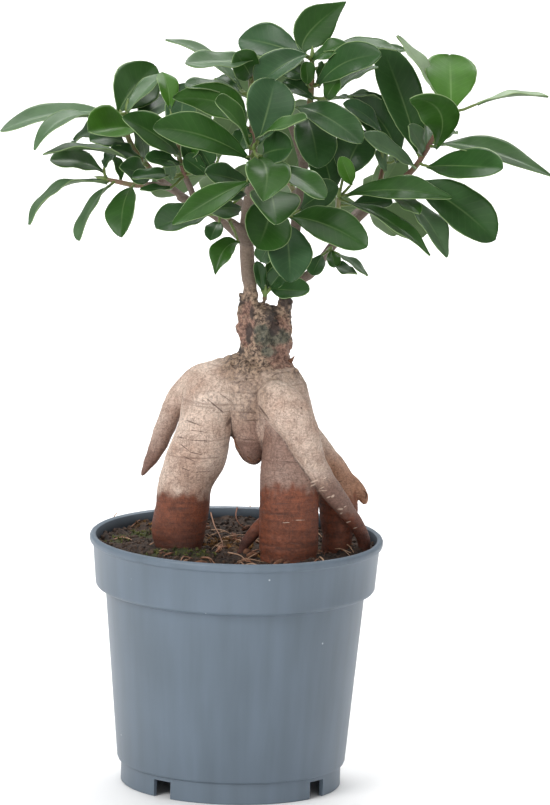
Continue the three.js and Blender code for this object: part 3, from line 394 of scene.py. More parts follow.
# The shoots at the back: the branch, where the twig ends from there, how many leaves grow round it
# and the angle of the first.
BACK_SHOOTS = {
    "shoot_back_left": {"from": "spur_back_left", "reach": [-6, 14, 26], "leaves": 7, "turn": 160},
    "shoot_back_centre": {"from": "spur_back_centre", "reach": [-4, 7, 24], "leaves": 6, "turn": 260},
    "shoot_back_right": {"from": "spur_back_right", "reach": [4, 2, 12], "leaves": 5, "turn": 20},
    "shoot_back_top": {"from": "spur_back_top", "reach": [-6, 13, 14], "leaves": 6, "turn": 280},
}

# The tone of each leaf of a shoot, in the order of its list: d dark, e less so, m middle, b bright,
# y youngest and yellowest, u bluish with some painted sheen, g greyish with more of it, p palest with the
# most of it.
TONES = {
    "shoot_left_low": "ggmmum",
    "shoot_left_high": "ggyddgmgddmd",
    "shoot_left_inner": "ddumydbgddd",
    "shoot_left_hanging": "dddbdd",
    "shoot_centre_front": "bmbmbubd",
    "shoot_upper_left": "bgmgdgd",
    "shoot_top": "muubbmmddgbdddgm",
    "shoot_low_centre": "mmumdd",
    "shoot_right_front": "mmyddd",
    "shoot_right_low": "egb",
    "shoot_right_high": "eggpybggpme",
    "shoot_right_inner": "dugg",
    "shoot_branch_small": "gdbd",
    "shoot_graft": "ddmd",
}
BACK_TONES = "ddmddmd"
# How young and yellow each tone is, and how much painted sheen of reflected light greys it.
TONE_VALUES = {
    "d": (0.15, 0.45), "e": (0.18, 0.35), "m": (0.22, 0.15), "b": (0.3, 0.05), "y": (0.72, 0),
    "u": (0.15, 0.9), "g": (0.35, 1.15), "p": (0.6, 1.9),
}
# What is special in the form of some leaves, by their place in the list: how deep the blade folds,
# how far its tip curls up (or down, below zero) in millimetres, and how much sharper its tip is.
FORMS = {
    "shoot_left_low": {0: {"point": 0.4}, 2: {"point": 0.4}},
    "shoot_left_high": {
        1: {"point": 0.8}, 2: {"fold": 0.75}, 6: {"curl": 3, "point": 0.3}, 8: {"fold": 0.4},
        9: {"point": 0.5},
    },
    "shoot_left_inner": {3: {"point": 0.5}},
    "shoot_left_hanging": {3: {"point": 1, "fold": 0.4}},
    "shoot_centre_front": {
        0: {"point": 0.6}, 2: {"point": 0.7}, 3: {"point": 0.3}, 4: {"fold": 0.35, "curl": 2},
        6: {"curl": 1.5},
    },
    "shoot_upper_left": {0: {"point": 0.6, "curl": 1.5}, 3: {"point": 0.8}, 5: {"curl": -1}},
    "shoot_top": {0: {"point": 0.9}, 2: {"fold": 0.5}, 5: {"point": 0.6}, 9: {"point": 0.5}},
    "shoot_low_centre": {1: {"point": 0.6}, 2: {"point": 0.4}},
    "shoot_right_front": {0: {"point": 0.8}, 1: {"point": 0.8}},
    "shoot_right_low": {1: {"point": 0.8}},
    "shoot_right_high": {
        3: {"point": 0.5}, 5: {"point": 0.5, "curl": 3}, 8: {"point": 0.3}, 9: {"point": 0.9},
    },
    "shoot_right_inner": {2: {"point": 0.6}},
    "shoot_branch_small": {0: {"point": 1}, 1: {"point": 0.8}},
}

# The angle from leaf to leaf round a twig.
GOLDEN_ANGLE = math.radians(137.5)
# The leaves at the back: how large they are, and how much smaller the last one on its twig is.
BACK_LEAF_LENGTH = 25
BACK_LEAF_WIDTH = 15.5
BACK_LEAF_BOW = 3
BACK_PETIOLE = 4
BACK_LEAF_SHRINK = 0.2
# Stalks that would start at one place on the twig start a step apart, clear of the twig's foot.
WHORL_STEP = 0.9
STALK_START = 1.8

# A leaf's outline: how far along the blade, and its half width there as a share of the widest.
OUTLINE = [
    (0, 0.08), (0.08, 0.2), (0.18, 0.45), (0.3, 0.73), (0.45, 0.93), (0.6, 1),
    (0.74, 0.95), (0.85, 0.79), (0.93, 0.55), (0.975, 0.32), (1, 0.06),
]
# How many faces a blade has along it and to each side of its midrib.
BLADE_ALONG = 22
BLADE_ACROSS = 6
BLADE_THICKNESS = 0.55
RIM_THICKNESS = 0.3
BLADE_FOLD = 0.28
# A blade leans over to one side at most so much, and its edge has so many waves of such a height.
BLADE_LEAN = 0.06
EDGE_WAVES = (1.5, 2.6)
EDGE_WAVE_HEIGHT = (0.3, 0.7)
# The midrib is a groove in the upper side and a ridge on the under side.
MIDRIB_HALF_WIDTH = 0.7
MIDRIB_GROOVE = 0.16
MIDRIB_RIDGE = 0.45
# From where along the blade its tip curls.
CURL_FROM = 0.6
PETIOLE_RADIUS = 0.65
# The stalk's thickness along it, as a share of that radius.
PETIOLE_TAPER = (1.25, 1.0, 0.9, 0.9, 0.6)
# The bud at a twig's end: how far its rings are from the end, and the radius of all but the first.
BUD_RINGS = (-1, 0.5, 2, 3.5, 5)
BUD_RADII = (1.0, 0.95, 0.6, 0.08)

# The same draws each time.
random.seed(7)


def linear(code):
    """The linear colour of an sRGB hex code."""
    channels = [int(code[i:i + 2], 16) / 255 for i in (1, 3, 5)]
    return [c / 12.92 if c <= 0.04045 else ((c + 0.055) / 1.055) ** 2.4 for c in channels] + [1.0]


def fill(tree, node, inputs):
    """Fills a node's sockets: each with a value, a node's first output in use or another socket."""
    for key, value in inputs.items():
        if isinstance(value, bpy.types.Node):
            value = next(output for output in value.outputs if output.enabled)
        if isinstance(value, bpy.types.NodeSocket):
            tree.links.new(value, node.inputs[key])
        else:
            node.inputs[key].default_value = value


def add(tree, kind, inputs=None, **settings):
    """Adds a node with its settings and fills its sockets."""
    made = tree.nodes.new(kind)
    for key, value in settings.items():
        setattr(made, key, value)
    fill(tree, made, inputs or {})
    return made


def finish_of(name, *kept):
    """A new material, its node tree, its surface shader, the place on the object, and the values
    that the mesh keeps for its points under the given names."""
    made = bpy.data.materials.new(name)
    made.use_nodes = True
    tree = made.node_tree
    place = add(tree, "ShaderNodeTexCoord").outputs["Object"]
    values = [add(tree, "ShaderNodeAttribute", attribute_name=key).outputs["Fac"] for key in kept]
    return made, tree, tree.nodes["Principled BSDF"], place, *values


class Shape:
    """Points in millimetres, faces, and values that go with the points."""

    def __init__(self):
        self.points = []
        self.faces = []
        self.values = {}

    def put(self, points, faces, **values):
        """Adds points and their faces. A value is one number for all the points, or a list."""
        first = len(self.points)
        self.points.extend(points)
        self.faces.extend(tuple(first + i for i in face) for face in faces)
        for key in set(values) | set(self.values):
            known = self.values.setdefault(key, [0.0] * first)
            given = values.get(key, 0.0)
            known.extend(given if isinstance(given, list) else [given] * len(points))

    def mesh(self, name):
        """The shape as a mesh in metres, with its values as attributes."""
        made = bpy.data.meshes.new(name)
        made.from_pydata([tuple(c * MM for c in p) for p in self.points], [], self.faces)
        for key, values in self.values.items():
            made.attributes.new(key, "FLOAT", "POINT").data.foreach_set("value", values)
        made.shade_smooth()
        return made


def shown(name, mesh, material, slot, *replaced):
    """Puts a finished mesh in the scene as a piece of the plant."""
    mesh.materials.clear()
    mesh.materials.append(material)
    piece = bpy.data.objects.new(name, mesh)
    bpy.context.scene.collection.objects.link(piece)
    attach(piece, "root")
    if replaced:
        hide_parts(*replaced)


def evaluated(mesh, setup):
    """The plain mesh that the modifiers make, which setup puts on a carrier of the mesh."""
    carrier = bpy.data.objects.new("carrier", mesh)
    bpy.context.scene.collection.objects.link(carrier)
    setup(carrier)
    ready = carrier.evaluated_get(bpy.context.evaluated_depsgraph_get())
    result = bpy.data.meshes.new_from_object(ready)
    carrier.modifiers.clear()
    bpy.data.objects.remove(carrier)
    return result


def smoothstep(low, high, value):
    """The soft step from 0 at low to 1 at high."""
    share = min(max((value - low) / (high - low), 0), 1)
    return share * share * (3 - 2 * share)


def smoothsteps(low, high, values):
    """The same for an array of values."""
    share = np.clip((values - low) / (high - low), 0, 1)
    return share * share * (3 - 2 * share)


def along_rows(rows, steps):
    """Samples rows along the smooth line through them, with so many steps from row to row."""
    rows = np.array(rows, float)
    line = np.vstack([2 * rows[0] - rows[1], rows, 2 * rows[-1] - rows[-2]])
    samples = []
    for i in range(len(rows) - 1):
        p0, p1, p2, p3 = line[i:i + 4]
        for k in range(steps):
            t = k / steps
            bend = 2 * p0 - 5 * p1 + 4 * p2 - p3
            twist = 3 * p1 - p0 - 3 * p2 + p3
            samples.append(0.5 * (2 * p1 + (p2 - p0) * t + bend * t * t + twist * t ** 3))
    samples.append(rows[-1])
    return samples


def first_side(way):
    """A direction across a limb that starts out in the given way."""
    side = Vector((0, 1, 0)).cross(way)
    return side if side.length > 0.2 else Vector((1, 0, 0))


def tube(centres, wides, deeps, sides):
    """The points and faces of a closed tube round a line of centres."""
    points = []
    side = None
    last = len(centres) - 1
    for i, centre in enumerate(centres):
        tangent = (centres[min(i + 1, last)] - centres[max(i - 1, 0)]).normalized()
        if side is None:
            side = first_side(tangent)
        side = (side - tangent * side.dot(tangent)).normalized()
        deep = side.cross(tangent)
        for k in range(sides):
            angle = 2 * math.pi * k / sides
            across = side * (math.cos(angle) * wides[i])
            points.append(centre + across + deep * (math.sin(angle) * deeps[i]))
    faces = []
    for i in range(last):
        for k in range(sides):
            a = i * sides + k
            b = i * sides + (k + 1) % sides
            faces.append((a, b, b + sides, a + sides))
    faces.append(tuple(reversed(range(sides))))
    faces.append(tuple(range(last * sides, (last + 1) * sides)))
    return points, faces


def limb(rows, steps):
    """The centres and half widths of a limb, sampled finely along its rows."""
    samples = along_rows(rows, steps)
    return [seen(*s[:3]) for s in samples], [s[3] for s in samples], [s[4] for s in samples]


def pot_plastic():
    """Injection-moulded polypropylene: an even slate grey with a soft sheen, faint flow bands and
    a few pale specks of lime, with painted shade darkening its inside."""
    made, tree, shader, place, inside = finish_of("moulded polypropylene", "inside")
    patches = add(tree, "ShaderNodeTexNoise", {"Vector": place, "Scale": PER_MM / 45, "Detail": 2.0})
    tall = add(tree, "ShaderNodeMapping", {"Vector": place, "Scale": (1, 1, 0.06)})
    flow = add(tree, "ShaderNodeTexNoise", {"Vector": tall, "Scale": PER_MM / 7, "Detail": 3.0})
    both = add(tree, "ShaderNodeMath", {0: patches, 1: flow}, operation="ADD")
    share = add(tree, "ShaderNodeMapRange", {0: both, 1: 0.75, 2: 1.25})
    colour = add(tree, "ShaderNodeMix", {0: share, 6: linear("#5d6974"), 7: linear("#667380")},
                 data_type="RGBA")
    cells = add(tree, "ShaderNodeTexVoronoi", {"Vector": place, "Scale": PER_MM / 16})
    speck = add(tree, "ShaderNodeMapRange", {0: cells, 1: 0.022, 2: 0.03, 3: 0.7, 4: 0.0})
    # Pale specks of lime, then painted shade over the pot's inside.
    for amount, coat in ((speck, "#c3c9cf"), (inside, "#282f37")):
        colour = add(tree, "ShaderNodeMix", {0: amount, 6: colour, 7: linear(coat)}, data_type="RGBA")
    # The grain of the mould is finer than 0.8 mm. It is drawn as coarse as it needs to show.
    grain = add(tree, "ShaderNodeTexNoise", {"Vector": place, "Scale": PER_MM / 0.8, "Detail": 2.0})
    bump = add(tree, "ShaderNodeBump", {"Height": grain, "Strength": 0.06, "Distance": 0.0002})
    fill(tree, shader, {
        "Base Color": colour, "Roughness": 0.42, "Specular IOR Level": 0.34, "Normal": bump,
    })
    return made


def leaf_wax():
    """Waxy fig leaf: deep green above, yellower where it is young and greyer under a painted sheen
    of reflected light, with a faint midrib and a thin pale rim of painted highlight; duller and paler
    below; stalks olive to brown."""
    made, tree, shader, place, young, bloom, across, along, under, stalk, woody = finish_of(
        "waxy fig leaf", "young", "bloom", "across", "along", "under", "stalk", "woody")
    cloud = add(tree, "ShaderNodeTexNoise", {"Vector": place, "Scale": PER_MM / 9, "Detail": 3.0})
    # Painted sheen: the leaf is greyed and paled where it would reflect the bright room.
    painted_sheen_grey = add(tree, "ShaderNodeMath", {0: bloom, 1: 0.5}, operation="MULTIPLY")
    sheen = add(tree, "ShaderNodeMapRange", {0: bloom, 1: 1.0, 2: 2.0, 3: 0.0, 4: 0.8})
    shade = add(tree, "ShaderNodeMapRange", {0: cloud, 1: 0.3, 2: 0.7, 3: 0.8, 4: 1.16})
    # Side veins leave the midrib about every 3 mm, slanting towards the tip.
    reach = add(tree, "ShaderNodeMath", {0: across}, operation="ABSOLUTE")
    slope = add(tree, "ShaderNodeMath", {0: reach, 1: -0.16, 2: along}, operation="MULTIPLY_ADD")
    beat = add(tree, "ShaderNodeMath", {0: slope, 1: 75.0}, operation="MULTIPLY")
    wave = add(tree, "ShaderNodeMath", {0: beat}, operation="SINE")
    veins = add(tree, "ShaderNodeMapRange", {0: wave, 1: 0.75, 2: 1.0})
    rib = add(tree, "ShaderNodeMapRange", {0: reach, 1: 0.01, 2: 0.06, 3: 0.3, 4: 0.0})
    fade = add(tree, "ShaderNodeMapRange", {0: along, 1: 0.3, 2: 0.95, 3: 1.0, 4: 0.0})
    midrib = add(tree, "ShaderNodeMath", {0: rib, 1: fade}, operation="MULTIPLY")
    # The pale rim is a painted highlight of light caught along the blade's edge.
    rim = add(tree, "ShaderNodeMapRange", {0: reach, 1: 0.955, 2: 0.985, 3: 0.0, 4: 0.75})
    light = add(tree, "ShaderNodeMath", {0: midrib, 1: rim}, operation="MAXIMUM")
    lined = add(tree, "ShaderNodeMath", {0: veins, 1: 0.02, 2: light}, operation="MULTIPLY_ADD")
    barky = add(tree, "ShaderNodeMapRange", {0: cloud, 1: 0.35, 2: 0.6, 3: 0.35, 4: 1.0})
    browned = add(tree, "ShaderNodeMath", {0: barky, 1: woody}, operation="MULTIPLY")
    colour, lower, stem = (
        add(tree, "ShaderNodeMix", {0: share, 6: linear(first), 7: linear(second)}, data_type="RGBA")
        for share, first, second in (
            (young, "#1a3b12", "#45751b"), (light, "#587048", "#8ba070"), (browned, "#6a7a44", "#75584a")))
    # Over the green lie the painted sheen in grey and pale, light and dark clouds, the lines and the
    # rim of painted highlight, then the under side and the stalk.
    for share, coat, blend in (
            (painted_sheen_grey, linear("#3a5640"), "MIX"), (sheen, linear("#9aae8a"), "MIX"), (1.0, shade, "MULTIPLY"),
            (lined, linear("#93ad72"), "MIX"), (under, lower, "MIX"), (stalk, stem, "MIX")):
        colour = add(tree, "ShaderNodeMix", {0: share, 6: colour, 7: coat},
                     data_type="RGBA", blend_type=blend)
    gloss = add(tree, "ShaderNodeMapRange", {0: cloud, 1: 0.3, 2: 0.7, 3: 0.3, 4: 0.42})
    rough = add(tree, "ShaderNodeMath", {0: under, 1: 0.2, 2: gloss}, operation="MULTIPLY_ADD")
    relief = add(tree, "ShaderNodeMath", {0: veins, 1: -0.15, 2: cloud}, operation="MULTIPLY_ADD")
    bump = add(tree, "ShaderNodeBump", {"Height": relief, "Strength": 0.25, "Distance": 0.0003})
    fill(tree, shader, {
        "Base Color": colour, "Roughness": rough, "Specular IOR Level": 0.29, "Normal": bump,
    })
    return made


# What the skin of the rootstock and the branches keeps for each of its points, from 0 to 1: how
# damp it is and how deep brown with it, how corky, mossy and red, how dark with painted shade in
# the creases and on the wood under the crown and with the graft's dark patches, how far in the dusk,
# whether it is wood, how ochre it is, and how clearly its bark shows rings.
BARK_VALUES = ("damp", "deep", "cork", "moss", "red", "dark", "dusk", "woody", "ochre", "ringed")


def marks_in(tree, place, grit, marks):
    """How strongly marks in the bark show: a long spot for each, broken up by the grit."""
    spots = None
    for centre, turn, size in marks:
        there = add(tree, "ShaderNodeMapping",
                    {"Vector": place, "Location": centre, "Rotation": turn, "Scale": size},
                    vector_type="TEXTURE")
        spot = add(tree, "ShaderNodeTexGradient", {"Vector": there}, gradient_type="SPHERICAL")
        spots = add(tree, "ShaderNodeMath", {0: spot, 1: spots}, operation="MAXIMUM") if spots else spot
    worn = add(tree, "ShaderNodeMath", {0: grit, 1: 1.6, 2: -0.8}, operation="MULTIPLY_ADD")
    broken = add(tree, "ShaderNodeMath", {0: spots, 1: worn}, operation="ADD")
    here = add(tree, "ShaderNodeMath", {0: spots, 1: 0.02}, operation="GREATER_THAN")
    kept = add(tree, "ShaderNodeMath", {0: broken, 1: here}, operation="MULTIPLY")
    return add(tree, "ShaderNodeMapRange", {0: kept, 1: 0.1, 2: 0.5, 3: 0.0, 4: 0.75})


def fig_bark(dark_lines_and_painted_creases, pale_marks):
    """Thin fig bark: smooth and pale beige where it is dry, with fine flecks and ring cracks, red
    brown where damp rises from the soil, and rough and corky round the graft."""
    made, tree, shader, place, damp, deep, cork, moss, red, dark, dusk, woody, ochre, ringed = finish_of(
        "fig bark", *BARK_VALUES)
    # The patterns: how each is drawn out, the size of its spots in millimetres, and its detail,
    # roughness and distortion.
    blotches, flecks, rings, streaks, grit, grain = (
        add(tree, "ShaderNodeTexNoise",
            {"Vector": add(tree, "ShaderNodeMapping", {"Vector": place, "Scale": stretch}),
             "Scale": PER_MM / size, "Detail": detail, "Roughness": rough, "Distortion": twist})
        for stretch, size, detail, rough, twist in (
            ((1, 1, 1), 12, 4.0, 0.5, 0.0), ((0.6, 0.6, 1), 0.7, 3.0, 0.7, 0.0),
            ((0.06, 0.06, 1), 2.2, 3.0, 0.5, 0.3), ((0.16, 0.16, 1), 1.3, 4.0, 0.6, 0.0),
            ((1, 1, 1), 1.5, 5.0, 0.75, 0.0), ((1, 1, 0.4), 2.2, 4.0, 0.65, 0.0)))
    # Cracks run in rings round the limbs, with gaps, and the finest ones along the grain.
    seams = add(tree, "ShaderNodeMapRange", {0: rings, 1: 0.62, 2: 0.66, 3: 0.0, 4: 0.55})
    around = add(tree, "ShaderNodeMath", {0: seams, 1: ringed}, operation="MULTIPLY")
    gaps = add(tree, "ShaderNodeMapRange", {0: flecks, 1: 0.42, 2: 0.6, 3: 1.0, 4: 0.0})
    ring_cracks = add(tree, "ShaderNodeMath", {0: around, 1: gaps}, operation="MULTIPLY")
    aside = add(tree, "ShaderNodeMath", {0: grain, 1: 0.5}, operation="SUBTRACT")
    off_line = add(tree, "ShaderNodeMath", {0: aside}, operation="ABSOLUTE")
    fissures = add(tree, "ShaderNodeMapRange", {0: off_line, 1: 0.003, 2: 0.02, 3: 0.5, 4: 0.0})
    cracks = add(tree, "ShaderNodeMath", {0: ring_cracks, 1: fissures}, operation="MAXIMUM")
    paler = add(tree, "ShaderNodeMapRange", {0: blotches, 1: 0.35, 2: 0.65})
    dots = add(tree, "ShaderNodeMapRange", {0: flecks, 1: 0.38, 2: 0.64, 3: 1.1, 4: 0.66})
    mixed = add(tree, "ShaderNodeMix", {0: 0.5, 2: streaks, 3: grit}, data_type="FLOAT")
    bands = add(tree, "ShaderNodeMapRange", {0: mixed, 1: 0.38, 2: 0.64, 3: 0.5, 4: 1.4})
    scales = add(tree, "ShaderNodeMapRange", {0: grit, 1: 0.41, 2: 0.6})
    # The last share is painted shade in the creases and on the wood under the crown, together with the
    # graft's dark patches.
    flaps, patches, painted_shade_and_dark_patches = (
        add(tree, "ShaderNodeMath", {0: amount, 1: most}, operation="MULTIPLY")
        for amount, most in ((red, 0.8), (moss, 0.85), (dark, 0.85)))
    colour, wet, wood, corky, ruddy, lichen = (
        add(tree, "ShaderNodeMix", {0: share, 6: linear(first), 7: linear(second)}, data_type="RGBA")
        for share, first, second in (
            (paler, "#b59886", "#d9c3b3"), (deep, "#743e27", "#4b2a21"), (flecks, "#5a463b", "#9a8878"),
            (scales, "#3f3029", "#b1967f"), (scales, "#5e4038", "#a17b6a"), (scales, "#2b302a", "#5f6353")))
    banded = add(tree, "ShaderNodeMix", {0: 1.0, 6: wet, 7: bands}, data_type="RGBA", blend_type="MULTIPLY")
    dark_line_and_painted_crease_spots, pale_spots = (marks_in(tree, place, grit, marks) for marks in (dark_lines_and_painted_creases, pale_marks))
    # Over the dry bark lie its dull and ochre parts, the flecks, the damp foot, the cracks, the
    # branches' grey wood, the cork, red flaps and lichen of the graft, painted shade in the creases
    # and on the wood under the crown along with the graft's dark patches, and the marks, of which
    # the dark ones along the creases are painted shade.
    for share, coat, blend in (
            (dusk, linear("#7c5c50"), "MIX"), (ochre, linear("#9f6843"), "MIX"), (1.0, dots, "MULTIPLY"),
            (damp, banded, "MIX"), (cracks, linear("#5a3a30"), "MIX"), (woody, wood, "MIX"),
            (cork, corky, "MIX"), (flaps, ruddy, "MIX"), (patches, lichen, "MIX"),
            (painted_shade_and_dark_patches, linear("#2e2523"), "MIX"), (dark_line_and_painted_crease_spots, linear("#452c25"), "MIX"),
            (pale_spots, linear("#dcc6b2"), "MIX")):
        colour = add(tree, "ShaderNodeMix", {0: share, 6: colour, 7: coat},
                     data_type="RGBA", blend_type=blend)
    relief = add(tree, "ShaderNodeMix", {0: cork, 2: flecks, 3: grit}, data_type="FLOAT")
    cut = add(tree, "ShaderNodeMath", {0: cracks, 1: -0.8, 2: relief}, operation="MULTIPLY_ADD")
    bump = add(tree, "ShaderNodeBump", {"Height": cut, "Strength": 0.6, "Distance": 0.0006})
    fill(tree, shader, {"Base Color": colour, "Roughness": 0.62, "Normal": bump})
    return made


def earthy(name, dark, light, size):
    """Loose natural matter, matt and blotched from grain to grain."""
    made, tree, shader, place = finish_of(name)
    blotch = add(tree, "ShaderNodeTexNoise",
                 {"Vector": place, "Scale": PER_MM / size, "Detail": 4.0, "Roughness": 0.65})
    share = add(tree, "ShaderNodeMapRange", {0: blotch, 1: 0.35, 2: 0.65})
    colour = add(tree, "ShaderNodeMix", {0: share, 6: linear(dark), 7: linear(light)}, data_type="RGBA")
    bump = add(tree, "ShaderNodeBump", {"Height": blotch, "Strength": 0.6, "Distance": 0.0005})
    fill(tree, shader, {"Base Color": colour, "Roughness": 0.95, "Normal": bump})
    return made


def soil_peat():
    """Damp peat: nearly black brown, coarse and matt, browner or greener under the tufts of moss."""
    made, tree, shader, place, mossy, dry = finish_of("damp peat", "mossy", "dry")
    blotch = add(tree, "ShaderNodeTexNoise",
                 {"Vector": place, "Scale": PER_MM / 2.2, "Detail": 5.0, "Roughness": 0.7})
    share = add(tree, "ShaderNodeMapRange", {0: blotch, 1: 0.38, 2: 0.66})
    colour = add(tree, "ShaderNodeMix", {0: share, 6: linear("#16100d"), 7: linear("#463429")},
                 data_type="RGBA")
    for patch, most, coat in ((dry, 0.7, "#5c4326"), (mossy, 0.8, "#3a4020")):
        cover = add(tree, "ShaderNodeMath", {0: patch, 1: most}, operation="MULTIPLY")
        colour = add(tree, "ShaderNodeMix", {0: cover, 6: colour, 7: linear(coat)}, data_type="RGBA")
    bump = add(tree, "ShaderNodeBump", {"Height": blotch, "Strength": 0.8, "Distance": 0.0008})
    fill(tree, shader, {"Base Color": colour, "Roughness": 0.95, "Normal": bump})
    return made


def straw_dry():
    """Dry roots and straws: dull tan, some browner, spotted."""
    made, tree, shader, place, straw = finish_of("dry straw", "straw")
    spots = add(tree, "ShaderNodeTexNoise", {"Vector": place, "Scale": PER_MM / 1.5, "Detail": 3.0})
    tint = add(tree, "ShaderNodeMix", {0: straw, 6: linear("#c2a184"), 7: linear("#7a4a34")},
               data_type="RGBA")
    shade = add(tree, "ShaderNodeMapRange", {0: spots, 1: 0.3, 2: 0.7, 3: 0.7, 4: 1.15})
    colour = add(tree, "ShaderNodeMix", {0: 1.0, 6: tint, 7: shade}, data_type="RGBA", blend_type="MULTIPLY")
    fill(tree, shader, {"Base Color": colour, "Roughness": 0.8})
    return made


# The pot: its wall turned round the axis, with the notches and the drain holes cut out of it.

# A turned shape starts this near to its axis.
CORE = 0.01


def turned(profile, sides):
    """The points and faces of a profile turned round the pot's axis, closed at both ends."""
    points = []
    faces = []
    for radius, height in profile:
        for k in range(sides):
            angle = 2 * math.pi * k / sides
            points.append(Vector((AXIS_X + radius * math.cos(angle), radius * math.sin(angle), height)))
    for i in range(len(profile) - 1):
        for k in range(sides):
            a = i * sides + k
            b = i * sides + (k + 1) % sides
            faces.append((a, b, b + sides, a + sides))
    last = (len(profile) - 1) * sides
    faces.append(tuple(reversed(range(sides))))
    faces.append(tuple(range(last, last + sides)))
    return points, faces


# The pot's wall in section, from the middle of its underside outwards and back over the lip.
POT_WALL = [
    (CORE, FLOOR_UNDER), (FOOT_RADIUS - WALL, FLOOR_UNDER), (FOOT_RADIUS - WALL, 0.3),
    (FOOT_RADIUS - WALL + 0.3, 0), (FOOT_RADIUS - 0.4, 0), (FOOT_RADIUS, 0.4),
    (FOOT_RADIUS, FOOT_HEIGHT - 0.2), (BODY_RADIUS_LOW - 0.5, FOOT_HEIGHT + 0.3),
    (BODY_RADIUS_LOW, FOOT_HEIGHT + 1.5), (BODY_RADIUS_TOP, STEP_LOW),
    (BODY_RADIUS_TOP + 0.3, COLLAR_LOW - 1.7), (COLLAR_RADIUS_LOW - 1.6, COLLAR_LOW - 0.9),
    (COLLAR_RADIUS_LOW - 0.6, COLLAR_LOW - 0.4), (COLLAR_RADIUS_LOW - 0.1, COLLAR_LOW + 0.3),
    (COLLAR_RADIUS_LOW, COLLAR_LOW + 1.2), (COLLAR_RADIUS_TOP, LIP_LOW - 0.3),
    (COLLAR_RADIUS_TOP + 0.4, LIP_LOW + 0.4), (RIM_RADIUS - 0.2, LIP_LOW + 0.9),
    (RIM_RADIUS, LIP_LOW + 1.5), (RIM_RADIUS, POT_HEIGHT - 1.2),
    (RIM_RADIUS - 0.3, POT_HEIGHT - 0.5), (RIM_RADIUS - 0.9, POT_HEIGHT - 0.05),
    (RIM_RADIUS - 1.6, POT_HEIGHT - 0.1), (RIM_RADIUS - LIP_REACH, POT_HEIGHT - 0.6),
    (COLLAR_RADIUS_TOP - WALL, LIP_LOW), (COLLAR_RADIUS_LOW - WALL, COLLAR_LOW + 1),
    (BODY_RADIUS_TOP - WALL, STEP_LOW), (BODY_RADIUS_LOW - WALL, FLOOR_TOP), (CORE, FLOOR_TOP),
]
POT_SIDES = 144
DRAIN_SIDES = 32
# The angle from which an edge of the pot shows as sharp, and how far painted shade darkens its hollow.
SHARP_EDGE = math.radians(32)
INSIDE_PAINTED_SHADE = 0.9
# How far the cutters of the notches and the drain holes reach past what they cut.
NOTCH_REACH = 6
NOTCH_BELOW = 2
DRAIN_REACH = 3
BOX_FACES = [(0, 1, 3, 2), (4, 6, 7, 5), (0, 4, 5, 1), (2, 3, 7, 6), (0, 2, 6, 4), (1, 5, 7, 3)]


def pot_cutters():
    """A box for each notch of the foot ring, and a rod for each drain hole."""
    axis = Vector((AXIS_X, 0, 0))
    cuts = Shape()
    for i in range(NOTCH_COUNT):
        angle = math.radians(NOTCH_FIRST_ANGLE - 90 + i * 360 / NOTCH_COUNT)
        spin = Matrix.Rotation(angle, 3, "Z")
        box = [Vector((FOOT_RADIUS + x * NOTCH_REACH, y * NOTCH_WIDTH / 2, z))
               for z in (-NOTCH_BELOW, NOTCH_TOP) for x in (-1, 1) for y in (-1, 1)]
        cuts.put([spin @ p + axis for p in box], BOX_FACES)
        drain = Matrix.Rotation(angle + math.pi / NOTCH_COUNT, 3, "Z") @ Vector((DRAIN_CIRCLE, 0, 0)) + axis
        ends = [drain + Vector((0, 0, z)) for z in (FLOOR_UNDER - DRAIN_REACH, FLOOR_TOP + DRAIN_REACH)]
        cuts.put(*tube(ends, [DRAIN_RADIUS] * 2, [DRAIN_RADIUS] * 2, DRAIN_SIDES))
    return cuts.mesh("cutter")


def pot_mesh():
    """The pot, cut out, with the faces of its hollow marked as its inside, for painted shade."""
    shell = Shape()
    shell.put(*turned(POT_WALL, POT_SIDES))
    cutter = bpy.data.objects.new("cutter", pot_cutters())
    bpy.context.scene.collection.objects.link(cutter)

    def cut(carrier):
        carver = carrier.modifiers.new("cut", "BOOLEAN")
        carver.operation = "DIFFERENCE"
        carver.solver = "EXACT"
        carver.object = cutter

    result = evaluated(shell.mesh("pot_wall"), cut)
    bpy.data.objects.remove(cutter)
    heights = [FLOOR_TOP, STEP_LOW, COLLAR_LOW + 1, LIP_LOW]
    hollow = [r - WALL for r in (BODY_RADIUS_LOW, BODY_RADIUS_TOP, COLLAR_RADIUS_LOW, COLLAR_RADIUS_TOP)]
    shaded = []
    for vertex in result.vertices:
        x, y, z = (c / MM for c in vertex.co)
        inside = math.hypot(x - AXIS_X, y) < np.interp(z, heights, hollow) + 0.3
        # Points of the inner wall and floor get painted shade.
        shaded.append(INSIDE_PAINTED_SHADE if inside and FLOOR_TOP - 0.5 < z < POT_HEIGHT - 1 else 0.0)
    result.attributes.new("inside", "FLOAT", "POINT").data.foreach_set("value", shaded)
    result.set_sharp_from_angle(angle=SHARP_EDGE)
    return result


# The rootstock and its branches: one skin round all limbs, then worked over point by point.

# The size of the skin's faces, and how often it is smoothed. A limb is a tube of such steps from
# section to section and such sides under the skin, and in coarser steps where distances are taken.
SKIN = 0.65
SKIN_SMOOTHING = 5
LIMB_STEPS = 5
LIMB_SIDES = 20
DISTANCE_STEPS = 3

# How softly each limb of the rootstock runs into the ones before it: millimetres at its foot, how
# much more at its top, and the heights in between. The other limbs meet theirs in a seam.
MELTING = [
    ("leg_left", 0.5, 1.7, (142, 160)), ("root_hanging", 0.5, 1.7, (142, 160)),
    ("leg_right", 0.5, 1.7, (142, 160)), ("leg_middle", 0.5, 1.7, (142, 160)),
    ("neck", 1.5, 0, (142, 160)), ("knob", 0.3, 1.5, (150, 162)), ("root_front", 0.25, 0.9, (160, 168)),
]
SEAMED = ("graft_left", "graft_right", "callus", "cut_root", "bark_root", *WOOD)
SEAM_SOFTNESS = 0.35

